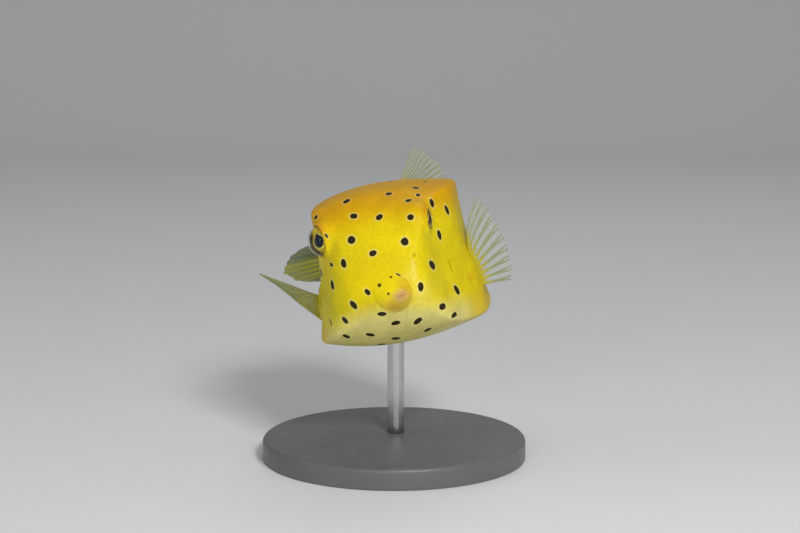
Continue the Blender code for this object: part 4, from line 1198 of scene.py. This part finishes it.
def displayStand():
    # a round base with a rounded rim and foot, and a plain rod up into the fish
    radius, thick, bevel, foot = stand["radius"], stand["thickness"], stand["bevel"], stand["foot"]
    turn = np.linspace(0.0, math.pi / 2, stand["bevelSteps"])
    base = [(ring, 0.0) for ring in stand["footRings"]]
    base += [(radius - foot + foot * math.sin(a), foot - foot * math.cos(a)) for a in turn]
    base += [(radius - bevel + bevel * math.cos(a), thick - bevel + bevel * math.sin(a)) for a in turn]
    base += [(ring, thick) for ring in (*stand["topRings"], stand["footRings"][0])]
    lathe("display_base", base, (0.0, 0.0), standLook(), "stand_base")
    yaw = math.radians(pose["yaw"])
    centre = (-stand["rodForward"] * math.sin(yaw), -stand["rodForward"] * math.cos(yaw))
    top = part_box("stand_rod")[1].z / mm + stand["rodInto"]
    heights = np.linspace(thick - stand["rodSink"], top, stand["rodRings"])
    rod = [(stand["rodRadius"], height) for height in heights]
    lathe("display_rod", rod, centre, rodLook(), "stand_rod")
    print("stand made")


room = dict(half=1.6, floorRows=(-1.4, -0.4, 0.2), bendAt=0.6, bend=0.35, bendSteps=24, top=1.6, columns=12,
            floor=(0.80, 0.80, 0.79, 1.0), sky=(0.92, 0.95, 1.0, 1.0), skyStrength=0.28)  # metres


def studio():
    # a pale floor that sweeps up behind through a quarter of a circle
    turn = np.linspace(0.0, math.pi / 2, room["bendSteps"])
    bend, start, flat = room["bend"], room["bendAt"], room["floorRows"]
    depth = np.concatenate([flat, start + bend * np.sin(turn), [start + bend]])
    rise = np.concatenate([np.zeros(len(flat)), bend - bend * np.cos(turn), [room["top"]]])
    across = np.linspace(-room["half"], room["half"], room["columns"])
    grid = np.stack(np.broadcast_arrays(across[None, :], depth[:, None], rise[:, None]), axis=-1)
    mesh = bpy.data.meshes.new("floor")
    mesh.from_pydata(grid.reshape(-1, 3).tolist(), [], gridFaces(len(depth), len(across)).tolist())
    mesh.shade_smooth()
    mesh.materials.append(newLook("paleFloor", Base_Color=room["floor"], Roughness=0.6)[0])
    floor = addToScene("floor", mesh)


lights = dict(
    key=dict(azimuth=20.0, elevation=34.0, distance=0.55, size=0.12, power=1.98),
    front=dict(azimuth=-20.0, elevation=14.0, distance=0.60, size=0.2, power=0.45),
    left=dict(azimuth=-80.0, elevation=30.0, distance=0.6, size=0.35, power=0.25),
    back=dict(azimuth=165.0, elevation=52.0, distance=0.6, size=0.25, power=0.3),
)


def aim(made, azimuth, elevation, distance):
    # an object set at a distance from the fish's middle, degrees round and above it, looking at it
    turn, rise = math.radians(azimuth), math.radians(elevation)
    toward = Vector((math.sin(turn) * math.cos(rise), -math.cos(turn) * math.cos(rise), math.sin(rise)))
    middle = Vector((0.0, 0.0, pose["height"] * mm))
    made.matrix_world = Matrix.Translation(middle + toward * distance) @ (
        toward.to_track_quat("Z", "Y").to_matrix().to_4x4())


def lightUp():
    for name, lamp in lights.items():
        data = bpy.data.lights.new(name, "AREA")
        data.size, data.energy = lamp["size"], lamp["power"]
        aim(addToScene(name, data), lamp["azimuth"], lamp["elevation"], lamp["distance"])
    world = bpy.data.worlds.new("studio")
    bpy.context.scene.world = world
    world.use_nodes = True
    sky = world.node_tree.nodes["Background"]
    sky.inputs["Color"].default_value = room["sky"]
    sky.inputs["Strength"].default_value = room["skyStrength"]


def aimCamera():
    data = bpy.data.cameras.new("camera")
    data.sensor_width = view["sensor"]
    data.lens = data.sensor_width / 2 / math.tan(math.radians(view["field"] / 2))
    data.shift_x, data.shift_y = view["shiftX"], view["shiftY"]
    data.clip_start = view["near"]
    made = addToScene("camera", data)
    aim(made, 0.0, view["elevation"], view["distance"] * mm)
    bpy.context.scene.camera = made


aimCamera()
lightUp()
studio()
skin = skinLook()
places, sizes = fishSkin(skin)
irisSurface = irisLook()
clearCap = newLook("clearCornea", Base_Color=(0.97, 0.98, 0.96, 1.0), Roughness=0.02, IOR=1.12,
                   Transmission_Weight=1.0)[0]
for eyeSide, label in ((1.0, "left"), (-1.0, "right")):
    eyeball(eyeSide, label, irisSurface)
    cornea(eyeSide, label, clearCap)
    eyelid(eyeSide, label, skin, places, sizes)
print("eyes made")

# Each fin's root runs between two places on the skin: mm forward, and the place around counted in ridges.
finPlaces = dict(
    pectoral_left=dict(
        rays=10, root=((-0.6, 3.55), (0.2, 3.205)), aims=((0.13, 0.39, 0.91), (0.60, 0.79, -0.08)),
        lengths=(8.3, 8.3, 7.25), curls=((0.26, 0.0, -0.05), (0.0, 0.10, -0.02)),
        look="clearFin", node="pectoral_fin_left", seed=3),
    pectoral_right=dict(
        rays=10, root=((-0.6, 1.68), (0.2, 1.85)), aims=((-0.86, -0.10, 0.50), (-0.694, 0.315, 0.645)),
        lengths=(11.5, 11.9, 11.1), curls=((0.0, 0.04, 0.02), (0.0, 0.04, 0.02)),
        look="sideFin", node="pectoral_fin_right", seed=4),
    dorsal=dict(
        rays=9, root=((-17.6, 0.43), (-21.8, 0.41)), aims=((0.42, 0.33, 0.85), (0.91, 0.26, 0.30)),
        lengths=(7.6, 8.5, 9.2), curls=((0.03, 0.04, -0.02), (0.03, 0.04, -0.02)),
        look="clearFin", node="dorsal_fin", seed=5),
    anal=dict(
        rays=9, root=((-15.4, 2.5), (-20.4, 2.5)), aims=((-0.10, 0.80, -0.60), (-0.30, 0.94, 0.05)),
        lengths=(8.6, 9.8, 8.2), curls=((-0.06, 0.05, 0.0), (-0.06, 0.05, 0.0)),
        look="clearFin", node="anal_fin", seed=6),
)
finLooks = {name: finLook(name, finish) for name, finish in finFinishes.items()}
for name, fin in finPlaces.items():
    surface = fan(fin["root"], fin["aims"], fin["lengths"], fin["curls"])
    finSheet(name, fin["rays"], surface, finLooks[fin["look"]], fin["node"], fin["seed"])
finSheet("tail_fan", 10, tailFan, tailFinLook(), "caudal_fin", 7)
displayStand()

bpy.context.scene.view_settings.view_transform = "Standard"
